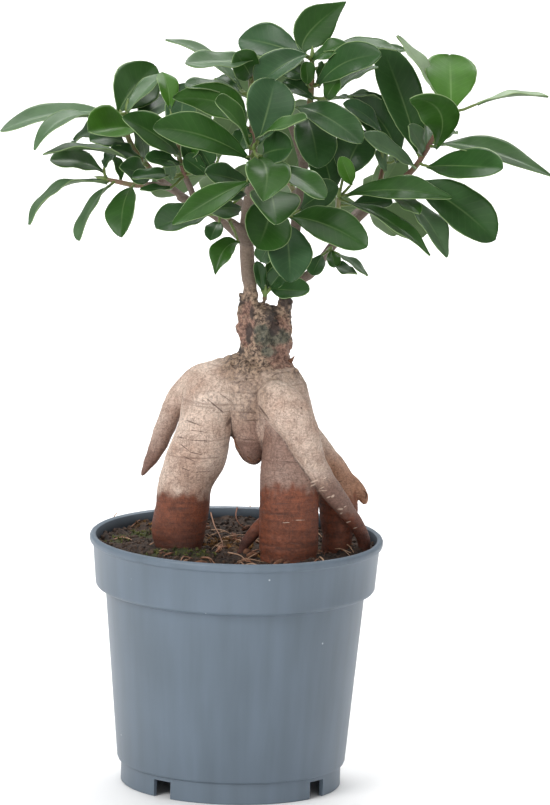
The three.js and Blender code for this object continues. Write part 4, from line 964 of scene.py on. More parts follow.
# Where the damp has risen to on each limb, and on the others, in millimetres above the pot's foot.
TIDE = 90
TIDES = {
    "leg_left": 118, "leg_middle": 120.5, "leg_right": 116, "root_front": 108,
    "bark_root": 140, "cut_root": 100,
}
# Between which heights the damp bark deepens, and how much on the limbs that aren't listed.
DEEPENING_HEIGHTS = (112, 90)
DEEPENED = 0.4
DEEPENING = {
    "leg_left": 1.0, "leg_middle": 0.15, "leg_right": 0.1, "bark_root": 1.6, "root_front": 0.9,
}
# How clearly rings show in the bark of three limbs, and of the others.
RINGED = {"leg_left": 1, "leg_middle": 1, "knob": 1}
HARDLY_RINGED = 0.25
# Where one limb presses into others, how dark the painted shade in the crease between them is,
# and between which heights it fades out upwards.
CREASE_PAINTED_SHADES = [
    ("root_front", ("torso", "leg_middle", "leg_right", "knob"), 0.75, (168, 160)),
    ("knob", ("leg_left", "leg_middle"), 0.95, (154, 147)),
    ("leg_middle", ("leg_right",), 0.9, (166, 158)),
]
# The heights over which a limb's dry bark dulls from bright to dim, and how much.
DUSKS = {
    "leg_middle": (163, 140, 0.8), "root_front": (135, 114, 0.95), "root_hanging": (160, 132, 0.9),
    "knob": (158, 135, 0.9), "torso": (168, 146, 0.3), "leg_right": (138, 110, 0.5),
    "leg_left": (140, 116, 0.1),
}
# The same for bark that turns ochre, and for painted shade that darkens the wood under the crown.
OCHRES = {"leg_right": (142, 126, 0.75), "cut_root": (200, 190, 0.75)}
WOOD_PAINTED_SHADES = {"stem_left": (214, 230, 0.35), "stem_right": (0, 1, 0.5)}
WOOD_PAINTED_SHADE = (0, 1, 0.4)
UNTURNED = (0, 1, 0)

# The bumps in the bark, by their size in millimetres.
BROAD = 11
MEDIUM = 4.2
FINE = 1.7
# The corky neck: between which heights it sets in and ends, and how far from its middle it fades.
NECK_FOOT = (160, 170)
NECK_TOP = (206, 198)
NECK_MIDDLE = 14
NECK_SIDES = (22, 13)
# A shaggy spot on the bulge between the legs: across, up, half width, half height.
SHAGGY_SPOT = (6.5, 157, 9, 10)

# Patches of the graft as they show from the front: across, up, half width, half height.
GRAFT_PATCHES = {
    "moss": [(13.5, 184.5, 4.5, 2.4), (16, 181, 8, 3.2), (21.5, 182, 4, 3), (15.5, 176, 3.5, 2)],
    "red": [(6, 185, 4, 7), (20.5, 175, 5.5, 5.5), (7, 193, 3, 4), (25, 177, 2.5, 4), (21, 186, 4, 5)],
    "dark": [(17, 192, 2.6, 6), (8.8, 192, 1.2, 3), (7.6, 184, 1, 4.5), (3.3, 196, 1.6, 3),
             (18.6, 186, 1.4, 5), (23, 197, 3.5, 4), (5.2, 175.5, 1.5, 2)],
}


def skin_mesh():
    """One skin of even faces round all limbs."""
    shape = Shape()
    for rows in LIMBS.values():
        shape.put(*tube(*limb(rows, LIMB_STEPS), LIMB_SIDES))

    def wrap(carrier):
        skin = carrier.modifiers.new("skin", "REMESH")
        skin.mode = "VOXEL"
        skin.voxel_size = SKIN * MM
        soft = carrier.modifiers.new("soft", "SMOOTH")
        soft.iterations = SKIN_SMOOTHING
        soft.factor = 0.5

    return evaluated(shape.mesh("limbs"), wrap)


def limb_distances(points):
    """For each limb, how far each point lies outside its surface, in millimetres."""
    table = {}
    for name, rows in LIMBS.items():
        centres, wides, deeps = limb(rows, DISTANCE_STEPS)
        best = np.full(len(points), 1e9)
        side = None
        for i in range(len(centres) - 1):
            start, step = centres[i], centres[i + 1] - centres[i]
            way = step.normalized()
            if side is None:
                side = first_side(way)
            side = (side - way * side.dot(way)).normalized()
            away = points - np.array(start)
            share = np.clip(away @ np.array(step) / step.length_squared, 0, 1)
            away = away - share[:, None] * np.array(step)
            wide = wides[i] + (wides[i + 1] - wides[i]) * share
            deep = deeps[i] + (deeps[i + 1] - deeps[i]) * share
            reach = np.linalg.norm(away, axis=1) + 1e-6
            onward = away @ np.array(way)
            aside = away @ np.array(side) / wide
            inward = away @ np.array(side.cross(way)) / deep
            fullness = np.sqrt(aside ** 2 + inward ** 2 + (onward * 2 / (wide + deep)) ** 2)
            best = np.minimum(best, reach - reach / np.maximum(fullness, 1e-6))
        table[name] = best
    return table


def melted(first, second, softness):
    """The distance from two surfaces that run into one another softly."""
    low = np.minimum(first, second)
    return low - softness * np.log(np.exp((low - first) / softness) + np.exp((low - second) / softness))


def settled(points, normals, up):
    """Moves the points, at most 3 mm at a time, to the surface of limbs that flow together."""
    for _ in range(2):
        outside = limb_distances(points)
        surface = outside["torso"]
        for name, least, more, heights in MELTING:
            surface = melted(surface, outside[name], least + more * smoothsteps(*heights, up))
        for name in SEAMED:
            surface = melted(surface, outside[name], SEAM_SOFTNESS)
        points = points - normals * np.clip(surface, -3, 3)[:, None]
    return points, outside


def seen_from_front(points):
    """Across and up of each point, as it shows from the front."""
    moved = points - np.array([AXIS_X, 0, 0])
    return moved @ np.array(VIEW_RIGHT), moved @ np.array(VIEW_UP)


def painted_crease_shades(outside, up):
    """How dark the painted shade makes each point where two limbs press together."""
    shades = np.zeros(len(up))
    for name, others, share, heights in CREASE_PAINTED_SHADES:
        other = np.min([outside[other] for other in others], axis=0)
        touching = smoothsteps(1.5, 0.6, np.maximum(outside[name], other))
        near = smoothsteps(0.9, 0.1, np.abs(outside[name] - other))
        shades = np.maximum(shades, share * near * touching * smoothsteps(*heights, up))
    return shades


def turned_at(row, up):
    """How far a limb's bark has turned at a height, from its row of two heights and a share."""
    start, end, most = row
    return most * smoothstep(start, end, up)


def bark_values(name, p, up, broad, crease):
    """The values that colour a point of the rootstock, or of the stems and branches."""
    if name not in ROOTSTOCK:
        # The wood's dark value is painted shade under the crown.
        return {"woody": 1, "dark": turned_at(WOOD_PAINTED_SHADES.get(name, WOOD_PAINTED_SHADE), up)}
    drip = noise.noise(Vector((p.x / 1.8, p.y / 1.8, p.z / 4)))
    tide = TIDES.get(name, TIDE)
    return {
        "damp": smoothstep(tide + 2, tide - 2, up + 4 * broad + 2.2 * drip),
        "deep": DEEPENING.get(name, DEEPENED) * smoothstep(*DEEPENING_HEIGHTS, up + 6 * broad),
        "ringed": RINGED.get(name, HARDLY_RINGED),
        # The crease's painted shade.
        "dark": crease,
        "ochre": turned_at(OCHRES.get(name, UNTURNED), up + 4 * broad),
        "dusk": turned_at(DUSKS.get(name, UNTURNED), up + 7 * broad),
    }


def graft_values(across, up, p, fine, faces_eye):
    """How mossy, red and dark the graft is at a point: in drawn patches in front, in others behind."""
    values = {}
    for kind, patches in GRAFT_PATCHES.items():
        if faces_eye:
            values[kind] = max(
                smoothstep(1.2, 0.7, math.hypot((across - x) / wide, (up - y) / tall) + 0.5 * fine)
                for x, y, wide, tall in patches)
        else:
            values[kind] = smoothstep(0.1, 0.3, noise.noise(p / 4 + Vector((len(kind), 4, 4))))
    return values


def worked_skin():
    """The skin with its lumps, rings and cork, and the values that colour it."""
    mesh = skin_mesh()
    count = len(mesh.vertices)
    points = np.empty(count * 3)
    mesh.vertices.foreach_get("co", points)
    points = points.reshape(-1, 3) / MM
    normals = np.array([v.normal for v in mesh.vertices])
    across, up = seen_from_front(points)
    points, outside = settled(points, normals, up)
    names = list(outside)
    nearest = np.argmin(np.array([outside[name] for name in names]), axis=0)
    creases = painted_crease_shades(outside, up)
    to_eye = np.array(TO_EYE)
    values = {key: np.zeros(count) for key in BARK_VALUES}
    push = np.zeros(count)
    for i in range(count):
        p = Vector(points[i])
        name = names[nearest[i]]
        broad = noise.noise(p / BROAD)
        medium = noise.noise(p / MEDIUM + Vector((9, 3, 1)))
        fine = noise.noise(p / FINE)
        neck = smoothstep(*NECK_FOOT, up[i] + 4 * medium)
        neck *= smoothstep(*NECK_SIDES, abs(across[i] - NECK_MIDDLE))
        neck *= smoothstep(*NECK_TOP, up[i])
        for key, value in bark_values(name, p, up[i], broad, creases[i]).items():
            values[key][i] = value
        if name in ROOTSTOCK:
            ring = noise.noise(Vector((p.x / 30, p.y / 30, p.z / 2.4)))
            push[i] = 0.35 * broad + 0.16 * medium + 0.15 * ring * (1 - neck)
        else:
            push[i] = 0.12 * medium
        push[i] += neck * (1.3 * medium + 0.9 * fine - 0.7)
        spot_across, spot_up, wide, tall = SHAGGY_SPOT
        away = math.hypot((across[i] - spot_across) / wide, (up[i] - spot_up) / tall)
        values["cork"][i] = max(neck, 0.5 * smoothstep(1.3, 0.7, away + 0.4 * medium))
        if neck > 0:
            faces_eye = normals[i] @ to_eye > -0.1
            for kind, strength in graft_values(across[i], up[i], p, fine, faces_eye).items():
                values[kind][i] = max(values[kind][i], strength * neck)
    points += normals * push[:, None]
    mesh.vertices.foreach_set("co", (points * MM).ravel())
    for key, value in values.items():
        mesh.attributes.new(key, "FLOAT", "POINT").data.foreach_set("value", value)
    mesh.shade_smooth()
    mesh.update()
    return mesh


# Marks in the bark, as they show from the front: across, up, length, width, slope in degrees.
# The dark marks are thin dark lines in the bark; those that follow the creases between limbs are painted
# shade.
DARK_LINES_AND_PAINTED_CREASES = [
    (-15, 147, 13, 0.7, -21), (-5.5, 153.5, 14, 0.8, -40), (-18.5, 137, 8, 0.6, -38),
    (-18, 128, 6, 0.5, -22), (-12, 139.7, 14, 0.6, -3), (-20, 141, 7, 0.5, -10),
    (-14, 134.5, 9, 0.5, -14), (9, 148, 9, 0.6, 2), (8, 140, 8, 0.5, -4), (-11, 127, 10, 0.5, 4),
    (24, 131, 10, 0.5, -3), (20, 114, 12, 0.5, 2), (-19, 112, 10, 0.5, 5),
    (0.2, 140.5, 15, 1.6, 88), (-0.6, 147, 5, 2.2, 60), (13.2, 152, 14, 1.0, -52),
    (-12.5, 143.5, 10, 0.5, -8), (-17, 132.5, 8, 0.5, -25), (44.8, 123, 3.2, 0.5, 12),
    (31.5, 123.5, 0.8, 0.8, 0), (-1.5, 157, 9, 0.5, -35), (29, 153, 0.9, 0.9, 0), (37, 150, 0.8, 0.8, 0),
]
PALE_MARKS = [
    (30.8, 131.3, 3.4, 1.3, 80), (33.2, 129.5, 3.4, 0.7, 50), (34.8, 129.6, 3.4, 0.8, 55),
    (34.5, 123.3, 4.6, 0.9, 22), (33.8, 121.6, 3.6, 0.8, 25), (37.3, 120.4, 2.8, 0.6, 27),
    (37.3, 119.3, 5.2, 0.6, 4), (40.2, 116.7, 3, 0.7, 25), (42, 117.2, 2.4, 1.2, 35),
    (45, 111.8, 3, 1.1, 5), (45.3, 110, 1.6, 0.7, 20), (46.9, 112.8, 1.6, 0.6, 30),
    (48.3, 106.5, 3.4, 0.6, 20), (51, 104, 2.6, 0.5, 20), (38.6, 124.5, 2.2, 0.5, 30),
    (28, 107.4, 6, 0.3, 0), (23, 106.4, 4, 0.25, 2),
]
# A mark is looked for on the bark from this far in front, and reaches this far before and behind it.
MARK_START = 200
MARK_DEPTH = 4


def placed_marks(tree_of_faces, marks):
    """Each mark's centre on the bark, its turn and its half sizes, in metres."""
    placed = []
    for across, up, length, width, slope in marks:
        start = (seen(across, up, 0) + TO_EYE * MARK_START) * MM
        hit = tree_of_faces.ray_cast(start, -TO_EYE)[0]
        if hit is None:
            continue
        angle = math.radians(slope)
        lengthwise = VIEW_RIGHT * math.cos(angle) + VIEW_UP * math.sin(angle)
        crosswise = TO_EYE.cross(lengthwise)
        turn = Matrix((lengthwise, crosswise, TO_EYE)).transposed().to_euler()
        placed.append((hit, turn, (length / 2 * MM, width / 2 * MM, MARK_DEPTH * MM)))
    return placed


# Fine roots and a flake of bark that stand off the rootstock: rows of across, up, depth and half
# width.
FINE_ROOTS = [
    [
        (22.3, 169.4, -1, 0.4), (24.3, 169, -2, 0.38), (25.2, 167.4, -3, 0.36),
        (24.8, 165.3, -3, 0.34), (23.4, 164, -2, 0.3),
    ],
    [(22.2, 171.2, -1, 1.2), (24.6, 172, -2, 0.9), (26.4, 174.3, -2, 0.1)],
    [(2.2, 138.2, -8, 0.28), (4, 134.8, -9, 0.26), (6.1, 133.3, -10, 0.24), (8.6, 131.6, -10, 0.2)],
    [(3.4, 138.6, -8, 0.24), (3.6, 135.4, -9, 0.24), (5.4, 131.8, -9, 0.2)],
    [(7, 133.2, -11, 0.26), (9.4, 131, -12, 0.24), (12.4, 132.4, -11, 0.2)],
    [(1.6, 141, -9, 0.3), (2.6, 137.6, -10, 0.26), (5, 135.6, -11, 0.2)],
    [(53.2, 120, 4, 0.3), (55.6, 118.2, 3, 0.26), (55.4, 115.6, 2, 0.2)],
]


def fine_roots_mesh():
    """The fine roots and the flake, each a thin tube."""
    shape = Shape()
    for rows in FINE_ROOTS:
        samples = along_rows(rows, 6)
        widths = [s[3] for s in samples]
        shape.put(*tube([seen(*s[:3]) for s in samples], widths, widths, 8))
    return shape.mesh("fine_roots")


# The leafy shoots: twigs with their buds, stalks and blades.


def outline_at(share):
    """A blade's half width there, as a share of its widest."""
    for (low, narrow), (high, wide) in zip(OUTLINE, OUTLINE[1:]):
        if share <= high:
            t = (share - low) / (high - low)
            return narrow + (wide - narrow) * t
    return OUTLINE[-1][1]


def blade_faces(rows, columns):
    """The faces of a blade: its upper side, its under side and the rim that joins them."""
    faces = []
    under = rows * columns
    for r in range(rows - 1):
        for c in range(columns - 1):
            a = r * columns + c
            faces.append((a, a + 1, a + 1 + columns, a + columns))
            b = a + under
            faces.append((b, b + columns, b + 1 + columns, b + 1))
        a = r * columns
        faces.append((a, a + columns, a + columns + under, a + under))
        a += columns - 1
        faces.append((a, a + under, a + under + columns, a + columns))
    for c in range(columns - 1):
        faces.append((c, c + under, c + 1 + under, c + 1))
        a = (rows - 1) * columns + c
        faces.append((a, a + 1, a + 1 + under, a + under))
    return faces


def blade(shape, root, foot, tip, face, width, bow, tone, aside=Vector(), fold=BLADE_FOLD, curl=0, point=0):
    """A leaf blade with its stalk: bowed, drawn aside, folded along its midrib, waved at its edge."""
    chord = (tip - foot).normalized()
    up = (face - chord * face.dot(chord)).normalized()
    crown = (foot + tip) / 2 + up * (2 * bow) + aside * 2
    start = random.uniform(0, 2 * math.pi)
    waves = random.uniform(*EDGE_WAVES)
    lean = random.uniform(-BLADE_LEAN, BLADE_LEAN)
    swell = random.uniform(*EDGE_WAVE_HEIGHT)
    shares = [(k / BLADE_ALONG) ** 0.9 for k in range(BLADE_ALONG)] + [0.985, 1.0]
    middles = []
    for share in shares:
        middle = foot * (1 - share) ** 2 + crown * (2 * share * (1 - share)) + tip * share ** 2
        curled = max(share - CURL_FROM, 0) / (1 - CURL_FROM)
        middles.append(middle + up * (curl * curled ** 2))
    last = len(shares) - 1
    columns = 2 * BLADE_ACROSS + 1
    points = []
    values = {"across": [], "along": [], "under": []}
    for side in (1, -1):
        for row, share in enumerate(shares):
            centre = middles[row]
            tangent = (middles[min(row + 1, last)] - middles[max(row - 1, 0)]).normalized()
            normal = (up - tangent * up.dot(tangent)).normalized()
            sideways = normal.cross(tangent)
            full = outline_at(share) * (1 - 0.65 * point * smoothstep(0.6, 1, share))
            half = max(full * width / 2, 0.12 if share > 0.9 else PETIOLE_RADIUS)
            for column in range(columns):
                s = (column - BLADE_ACROSS) / BLADE_ACROSS
                s = math.copysign(abs(s) ** 0.85, s)
                rise = half * (fold * (abs(s) ** 1.25 - 0.5) + lean * s)
                wave = math.sin(start + waves * 2 * math.pi * share + (0.9 if s > 0 else 0))
                rise += swell * wave * abs(s) ** 3
                thick = BLADE_THICKNESS / 2 + (RIM_THICKNESS - BLADE_THICKNESS) / 2 * abs(s) ** 4
                rib = math.exp(-(s * half / MIDRIB_HALF_WIDTH) ** 2) * (1 - share) ** 0.6
                rise += side * thick - rib * (MIDRIB_GROOVE if side > 0 else MIDRIB_RIDGE)
                points.append(centre + sideways * (s * half) + normal * rise)
                values["across"].append(s)
                values["along"].append(share)
                values["under"].append(0.0 if side > 0 else 1.0)
    tones = dict(zip(("young", "bloom"), TONE_VALUES[tone]))
    shape.put(points, blade_faces(len(shares), columns), **values, **tones)
    inside = foot * 0.92 + crown * 0.08
    sag = root.lerp(foot, 0.55) - up * (0.04 * (foot - root).length)
    line = [root, root.lerp(sag, 0.5), sag, sag.lerp(inside, 0.6), inside]
    radii = [PETIOLE_RADIUS * k for k in PETIOLE_TAPER]
    shape.put(*tube(line, radii, radii, 8), stalk=1.0, **tones)


def face_of(foot, tip, turn):
    """The way a blade's upper side faces: to the eye, turned towards the sky or to the right."""
    chord = (tip - foot).normalized()
    towards = (TO_EYE - chord * TO_EYE.dot(chord)).normalized()
    edge = towards.cross(chord)
    if (edge.z if abs(edge.z) > 0.3 else edge.x) < 0:
        edge.negate()
    angle = math.radians(turn)
    return towards * math.cos(angle) + edge * math.sin(angle)


def stalk_root(line, foot, order):
    """Where on its twig a leaf's stalk starts: near the leaf's foot, a little apart from others."""
    best = None
    for i, (start, end) in enumerate(zip(line, line[1:])):
        step = end - start
        share = min(max((foot - start).dot(step) / step.length_squared, 0), 1)
        least = STALK_START / step.length if i == 0 else 0
        moved = max(share - (order % 4) * WHORL_STEP / step.length, least)
        reach = (start + step * share - foot).length
        if best is None or reach < best[0]:
            best = (reach, start + step * moved)
    return best[1]


def twig_rows(branch, rows):
    """The twig's sections, starting inside the flat end of its branch."""
    before, end = (np.array(row[:3], float) for row in WOOD[branch][-2:])
    back = (end - before) / np.linalg.norm(end - before)
    return [(*(end - back * 0.6), WOOD[branch][-1][3])] + [tuple(row) for row in rows]


def put_twig(shape, rows):
    """The twig with the young bud at its end."""
    samples = along_rows([row[:4] for row in rows], 4)
    centres = [seen(*s[:3]) for s in samples]
    radii = [s[3] for s in samples]
    shape.put(*tube(centres, radii, radii, 10), stalk=1.0, woody=1.0, young=0.3)
    onward = (centres[-1] - centres[-3]).normalized()
    bud = [centres[-1] + onward * k for k in BUD_RINGS]
    sizes = [radii[-1], *BUD_RADII]
    shape.put(*tube(bud, sizes, sizes, 10), stalk=0.8, young=1.0)


def leafy_shoot(name):
    """The twig, stalks and blades of a shoot that shows in front."""
    shoot = SHOOTS[name]
    rows = twig_rows(shoot["from"], shoot["twig"])
    line = [seen(*row[:3]) for row in rows]
    shape = Shape()
    put_twig(shape, rows)
    for order, (leaf, tone) in enumerate(zip(shoot["leaves"], TONES[name])):
        foot = seen(*leaf[:3])
        tip = seen(*leaf[3:6])
        width, turn, bow = leaf[6:9]
        right, lift = leaf[9:] or (0, 0)
        root = stalk_root(line, foot, order)
        blade(shape, root, foot, tip, face_of(foot, tip, turn), width, bow, tone,
              VIEW_RIGHT * right + VIEW_UP * lift, **FORMS.get(name, {}).get(order, {}))
    return shape.mesh(name)


def back_shoot(name):
    """A shoot at the back, whose leaves stand round its twig and open less towards its end."""
    shoot = BACK_SHOOTS[name]
    end = np.array(WOOD[shoot["from"]][-1][:3], float)
    reach = np.array(shoot["reach"], float)
    rows = twig_rows(shoot["from"], [(*(end + reach / 2), 1), (*(end + reach), 0.7)])
    line = [seen(*row[:3]) for row in rows]
    axis = (line[2] - line[0]).normalized()
    side = (Vector((1, 0, 0)) - axis * axis.x).normalized()
    other = axis.cross(side)
    shape = Shape()
    put_twig(shape, rows)
    for i in range(shoot["leaves"]):
        share = (i + 1) / shoot["leaves"]
        turn = math.radians(shoot["turn"]) + i * GOLDEN_ANGLE
        opening = math.radians(90 - 60 * share)
        outward = side * math.cos(turn) + other * math.sin(turn)
        along = axis * math.cos(opening) + outward * math.sin(opening)
        root = line[0].lerp(line[2], 0.15 + 0.85 * share)
        foot = root + along * BACK_PETIOLE
        size = 1 - BACK_LEAF_SHRINK * share
        tip = foot + along * (BACK_LEAF_LENGTH * size)
        width = BACK_LEAF_WIDTH * size
        blade(shape, root, foot, tip, axis, width, BACK_LEAF_BOW, BACK_TONES[i])
    return shape.mesh(name)


# The soil: a crumbly top, loose crumbs of peat, tufts of moss and a few dry fibres.

# The rings and spokes of its top, and the mound at its left: its place from the pot's axis, how
# high it is and how far it spreads.
SOIL_RINGS = 60
SOIL_SPOKES = 180
MOUND_X = -40
MOUND_Y = -22
MOUND_HEIGHT = 1.6
MOUND_SPREAD = 300
# Fibres and splinters of bark that lie anywhere on the soil: how many, and how far they stay from
# the top of the pot's wall.
LOOSE_FIBRES = 46
FIBRE_MARGIN = 11.5
SPLINTERS = 30
SPLINTER_MARGIN = 9

# Moss and dry brown moss on the soil, as they show from the front: across, up, radius.
MOSS = [(-36, 101, 7), (-20, 93, 9), (-46, 98, 5), (-30, 92, 6), (-12, 92, 6), (40, 96, 5)]
DRY_MOSS = [(-6, 97, 9), (-42, 105, 8), (3, 95, 7), (-26, 103, 7), (20, 92, 7), (47, 95, 6)]
# Loose fibres: rows of across, up and height above the soil.
FIBRES = [
    [(-8.5, 110.5, 3), (-6.5, 104.5, 3.5), (-4.5, 101, 3), (-3, 97, 1.5), (-2.4, 94.5, 0.4)],
    [(-3.3, 99.5, 1), (1, 100.6, 1.5), (6.5, 101, 0.8)],
    [(2.8, 112, 5), (2.2, 108.5, 5), (3.5, 105.5, 3), (6.5, 103, 0.8)],
    [(8, 112.4, 4), (9.5, 110, 3), (11, 108.3, 0.8)],
    [(-0.8, 94, 0.8), (4, 93, 1.2), (7, 90.5, 0.6)],
    [(-34, 108, 1), (-37, 107, 2.4), (-41, 104, 0.8)],
    [(-50, 104, 1), (-48, 108, 4), (-46.5, 110, 6)],
    [(-33, 97, 1), (-28, 99, 2.5), (-25, 96, 0.8)],
    [(44, 96, 1), (47.5, 98, 2), (50, 97, 0.5)],
]


def on_soil(across, up, height=0):
    """The point over the soil that shows at a place from the front."""
    x = across * math.cos(VIEW_ROLL) - up * math.sin(VIEW_ROLL)
    rise = across * math.sin(VIEW_ROLL) + up * math.cos(VIEW_ROLL)
    z = SOIL_LEVEL + height
    depth = (rise - z * math.cos(VIEW_DOWN)) / math.sin(VIEW_DOWN)
    return Vector((AXIS_X + x, depth, z))


def soil_height(x, y):
    """How high the soil stands at a place from the pot's axis."""
    lumps = math.sin(x / 7 + 1) * math.cos(y / 8) + 0.6 * math.sin((x + 2 * y) / 5)
    mound = MOUND_HEIGHT * math.exp(-((x - MOUND_X) ** 2 + (y - MOUND_Y) ** 2) / MOUND_SPREAD)
    return SOIL_LEVEL + SOIL_RELIEF * lumps + mound


def patch_value(point, patches):
    """How much of the patches covers a point of the soil."""
    value = 0
    for across, up, radius in patches:
        middle = on_soil(across, up)
        away = math.hypot(point.x - middle.x, point.y - middle.y)
        value = max(value, smoothstep(radius * 1.25, radius * 0.5, away))
    return value


def soil_mesh():
    """The body of soil that fills the pot, with its rough top and where the moss grows on it."""
    brim = COLLAR_RADIUS_TOP - WALL - GAP
    profile = [
        (CORE, FLOOR_TOP + GAP), (BODY_RADIUS_LOW - WALL - GAP, FLOOR_TOP + GAP),
        (BODY_RADIUS_TOP - WALL - GAP, STEP_LOW), (COLLAR_RADIUS_LOW - WALL - GAP, COLLAR_LOW + 1),
    ]
    profile += [(brim * (1 - k / SOIL_RINGS) + CORE, SOIL_LEVEL) for k in range(SOIL_RINGS + 1)]
    points, faces = turned(profile, SOIL_SPOKES)
    mossy = [0] * len(points)
    dry = [0] * len(points)
    for i, p in enumerate(points):
        if p.z > SOIL_LEVEL - 1:
            radius = math.hypot(p.x - AXIS_X, p.y)
            mossy[i] = patch_value(p, MOSS)
            dry[i] = patch_value(p, DRY_MOSS)
            rough = noise.noise(p / 3.1) * 1.1 + noise.noise(p / 1.2) * 0.5
            p.z = soil_height(p.x - AXIS_X, p.y) + rough + 0.9 * mossy[i] + 0.6 * dry[i]
            p.z += 0.8 * smoothstep(brim - 4, brim, radius)
    shape = Shape()
    loose = [1.0 if p.z > SOIL_LEVEL - 5 else 0.0 for p in points]
    shape.put(points, faces, mossy=mossy, dry=dry, loose=loose)
    return shape.mesh("soil_top")


def scatter_group(name, thing):
    """Geometry nodes that strew copies of a thing over a ground where its mask allows."""
    tree = bpy.data.node_groups.new(name, "GeometryNodeTree")
    tree.interface.new_socket("Geometry", in_out="INPUT", socket_type="NodeSocketGeometry")
    for label, kind, start in (("Mask", "NodeSocketFloat", 1.0), ("Density", "NodeSocketFloat", 1e5),
                               ("Tilt", "NodeSocketFloat", 3.14), ("Smallest", "NodeSocketFloat", 0.5),
                               ("Largest", "NodeSocketFloat", 1.0), ("Seed", "NodeSocketInt", 1)):
        socket = tree.interface.new_socket(label, in_out="INPUT", socket_type=kind)
        socket.default_value = start
    tree.interface.new_socket("Stuff", in_out="INPUT", socket_type="NodeSocketMaterial")
    tree.interface.new_socket("Geometry", in_out="OUTPUT", socket_type="NodeSocketGeometry")
    given = add(tree, "NodeGroupInput").outputs
    amount = add(tree, "ShaderNodeMath", {0: given["Mask"], 1: given["Density"]}, operation="MULTIPLY")
    points = add(tree, "GeometryNodeDistributePointsOnFaces",
                 {"Mesh": given["Geometry"], "Density": amount, "Seed": given["Seed"]})
    less = add(tree, "ShaderNodeMath", {0: given["Tilt"], 1: -1.0}, operation="MULTIPLY")
    lowest = add(tree, "ShaderNodeCombineXYZ", {0: less, 1: less, 2: 0.0})
    highest = add(tree, "ShaderNodeCombineXYZ", {0: given["Tilt"], 1: given["Tilt"], 2: 2 * math.pi})
    smallest, largest = (
        add(tree, "ShaderNodeCombineXYZ", {axis: given[label] for axis in range(3)})
        for label in ("Smallest", "Largest"))
    turn, size = (
        add(tree, "FunctionNodeRandomValue", {0: low, 1: high, "Seed": given["Seed"]},
            data_type="FLOAT_VECTOR")
        for low, high in ((lowest, highest), (smallest, largest)))
    source = add(tree, "GeometryNodeObjectInfo", {"Object": thing})
    copies = add(tree, "GeometryNodeInstanceOnPoints",
                 {"Points": points, "Instance": source.outputs["Geometry"], "Rotation": turn.outputs[0],
                  "Scale": size.outputs[0]})
    whole = add(tree, "GeometryNodeRealizeInstances", {"Geometry": copies})
    dressed = add(tree, "GeometryNodeSetMaterial", {"Geometry": whole, "Material": given["Stuff"]})
    add(tree, "NodeGroupOutput", {"Geometry": dressed})
    return tree


def strewn(name, ground, thing, mask, material, **amounts):
    """The mesh of copies of a thing strewn over the ground where the named attribute allows."""
    source = bpy.data.objects.new(name + "_one", thing)
    tree = scatter_group(name, source)
    sockets = {item.name: item.identifier for item in tree.interface.items_tree if item.in_out == "INPUT"}

    def strew(carrier):
        modifier = carrier.modifiers.new(name, "NODES")
        modifier.node_group = tree
        for label, value in amounts.items():
            modifier[sockets[label]] = value
        modifier[sockets["Stuff"]] = material
        modifier[sockets["Mask"] + "_use_attribute"] = True
        modifier[sockets["Mask"] + "_attribute_name"] = mask

    result = evaluated(ground, strew)
    bpy.data.objects.remove(source)
    return result


def crumb_mesh():
    """A crumb of peat about 2 mm across, rough all round."""
    shape = Shape()
    points, faces = tube([Vector((0, 0, z)) for z in (-0.95, -0.45, 0.4, 0.9)],
                         [0.45, 0.95, 0.9, 0.4], [0.4, 0.85, 0.95, 0.45], 6)
    shape.put([p * random.uniform(0.8, 1.25) for p in points], faces)
    return shape.mesh("crumb")


def sprig_mesh():
    """A sprig of moss about 3 mm tall, made of a few thin curling strands."""
    shape = Shape()
    for k in range(6):
        turn = k * GOLDEN_ANGLE
        out = Vector((math.cos(turn), math.sin(turn), 0))
        reach = random.uniform(1.2, 2.4)
        rise = random.uniform(1.6, 3.0)
        line = [Vector((0, 0, -0.6)), out * 0.35 * reach + Vector((0, 0, 0.75 * rise)),
                out * reach + Vector((0, 0, rise))]
        shape.put(*tube(line, [0.3, 0.26, 0.05], [0.3, 0.26, 0.05], 3))
    return shape.mesh("sprig")


def loose_place(margin):
    """A random place on the soil that keeps a margin to the wall, and its angle round the axis."""
    turn = random.uniform(0, 2 * math.pi)
    away = (COLLAR_RADIUS_TOP - margin) * math.sqrt(random.random())
    return Vector((AXIS_X + away * math.cos(turn), away * math.sin(turn), 0)), turn


def put_fibre(shape, line, thick, loss, sides):
    """A fibre that loses a share of its thickness towards its end."""
    line = [Vector(p) for p in line]
    radii = [thick * (1 - loss * i / len(line)) for i in range(len(line))]
    shape.put(*tube(line, radii, radii, sides), straw=random.random())


def fibres_mesh():
    """Dry roots and straws lying on the soil."""
    shape = Shape()
    for rows in FIBRES:
        put_fibre(shape, along_rows([tuple(on_soil(*row)) for row in rows], 5), 0.32, 0.6, 6)
    for _ in range(LOOSE_FIBRES):
        middle, turn = loose_place(FIBRE_MARGIN)
        way = Vector((math.cos(turn * 7), math.sin(turn * 7), 0)) * random.uniform(2, 7)
        bend = Vector((-way.y, way.x, 0)) * random.uniform(-0.4, 0.4)
        line = [middle - way, middle - way * 0.3 + bend, middle + way * 0.4 + bend * 0.7, middle + way]
        for p, height in zip(line, (0.4, 1.6, 1.9, 0.3)):
            p.z = soil_height(p.x - AXIS_X, p.y) + height
        put_fibre(shape, along_rows([tuple(p) for p in line], 3), random.uniform(0.16, 0.4), 0.5, 5)
    return shape.mesh("dry_fibres")


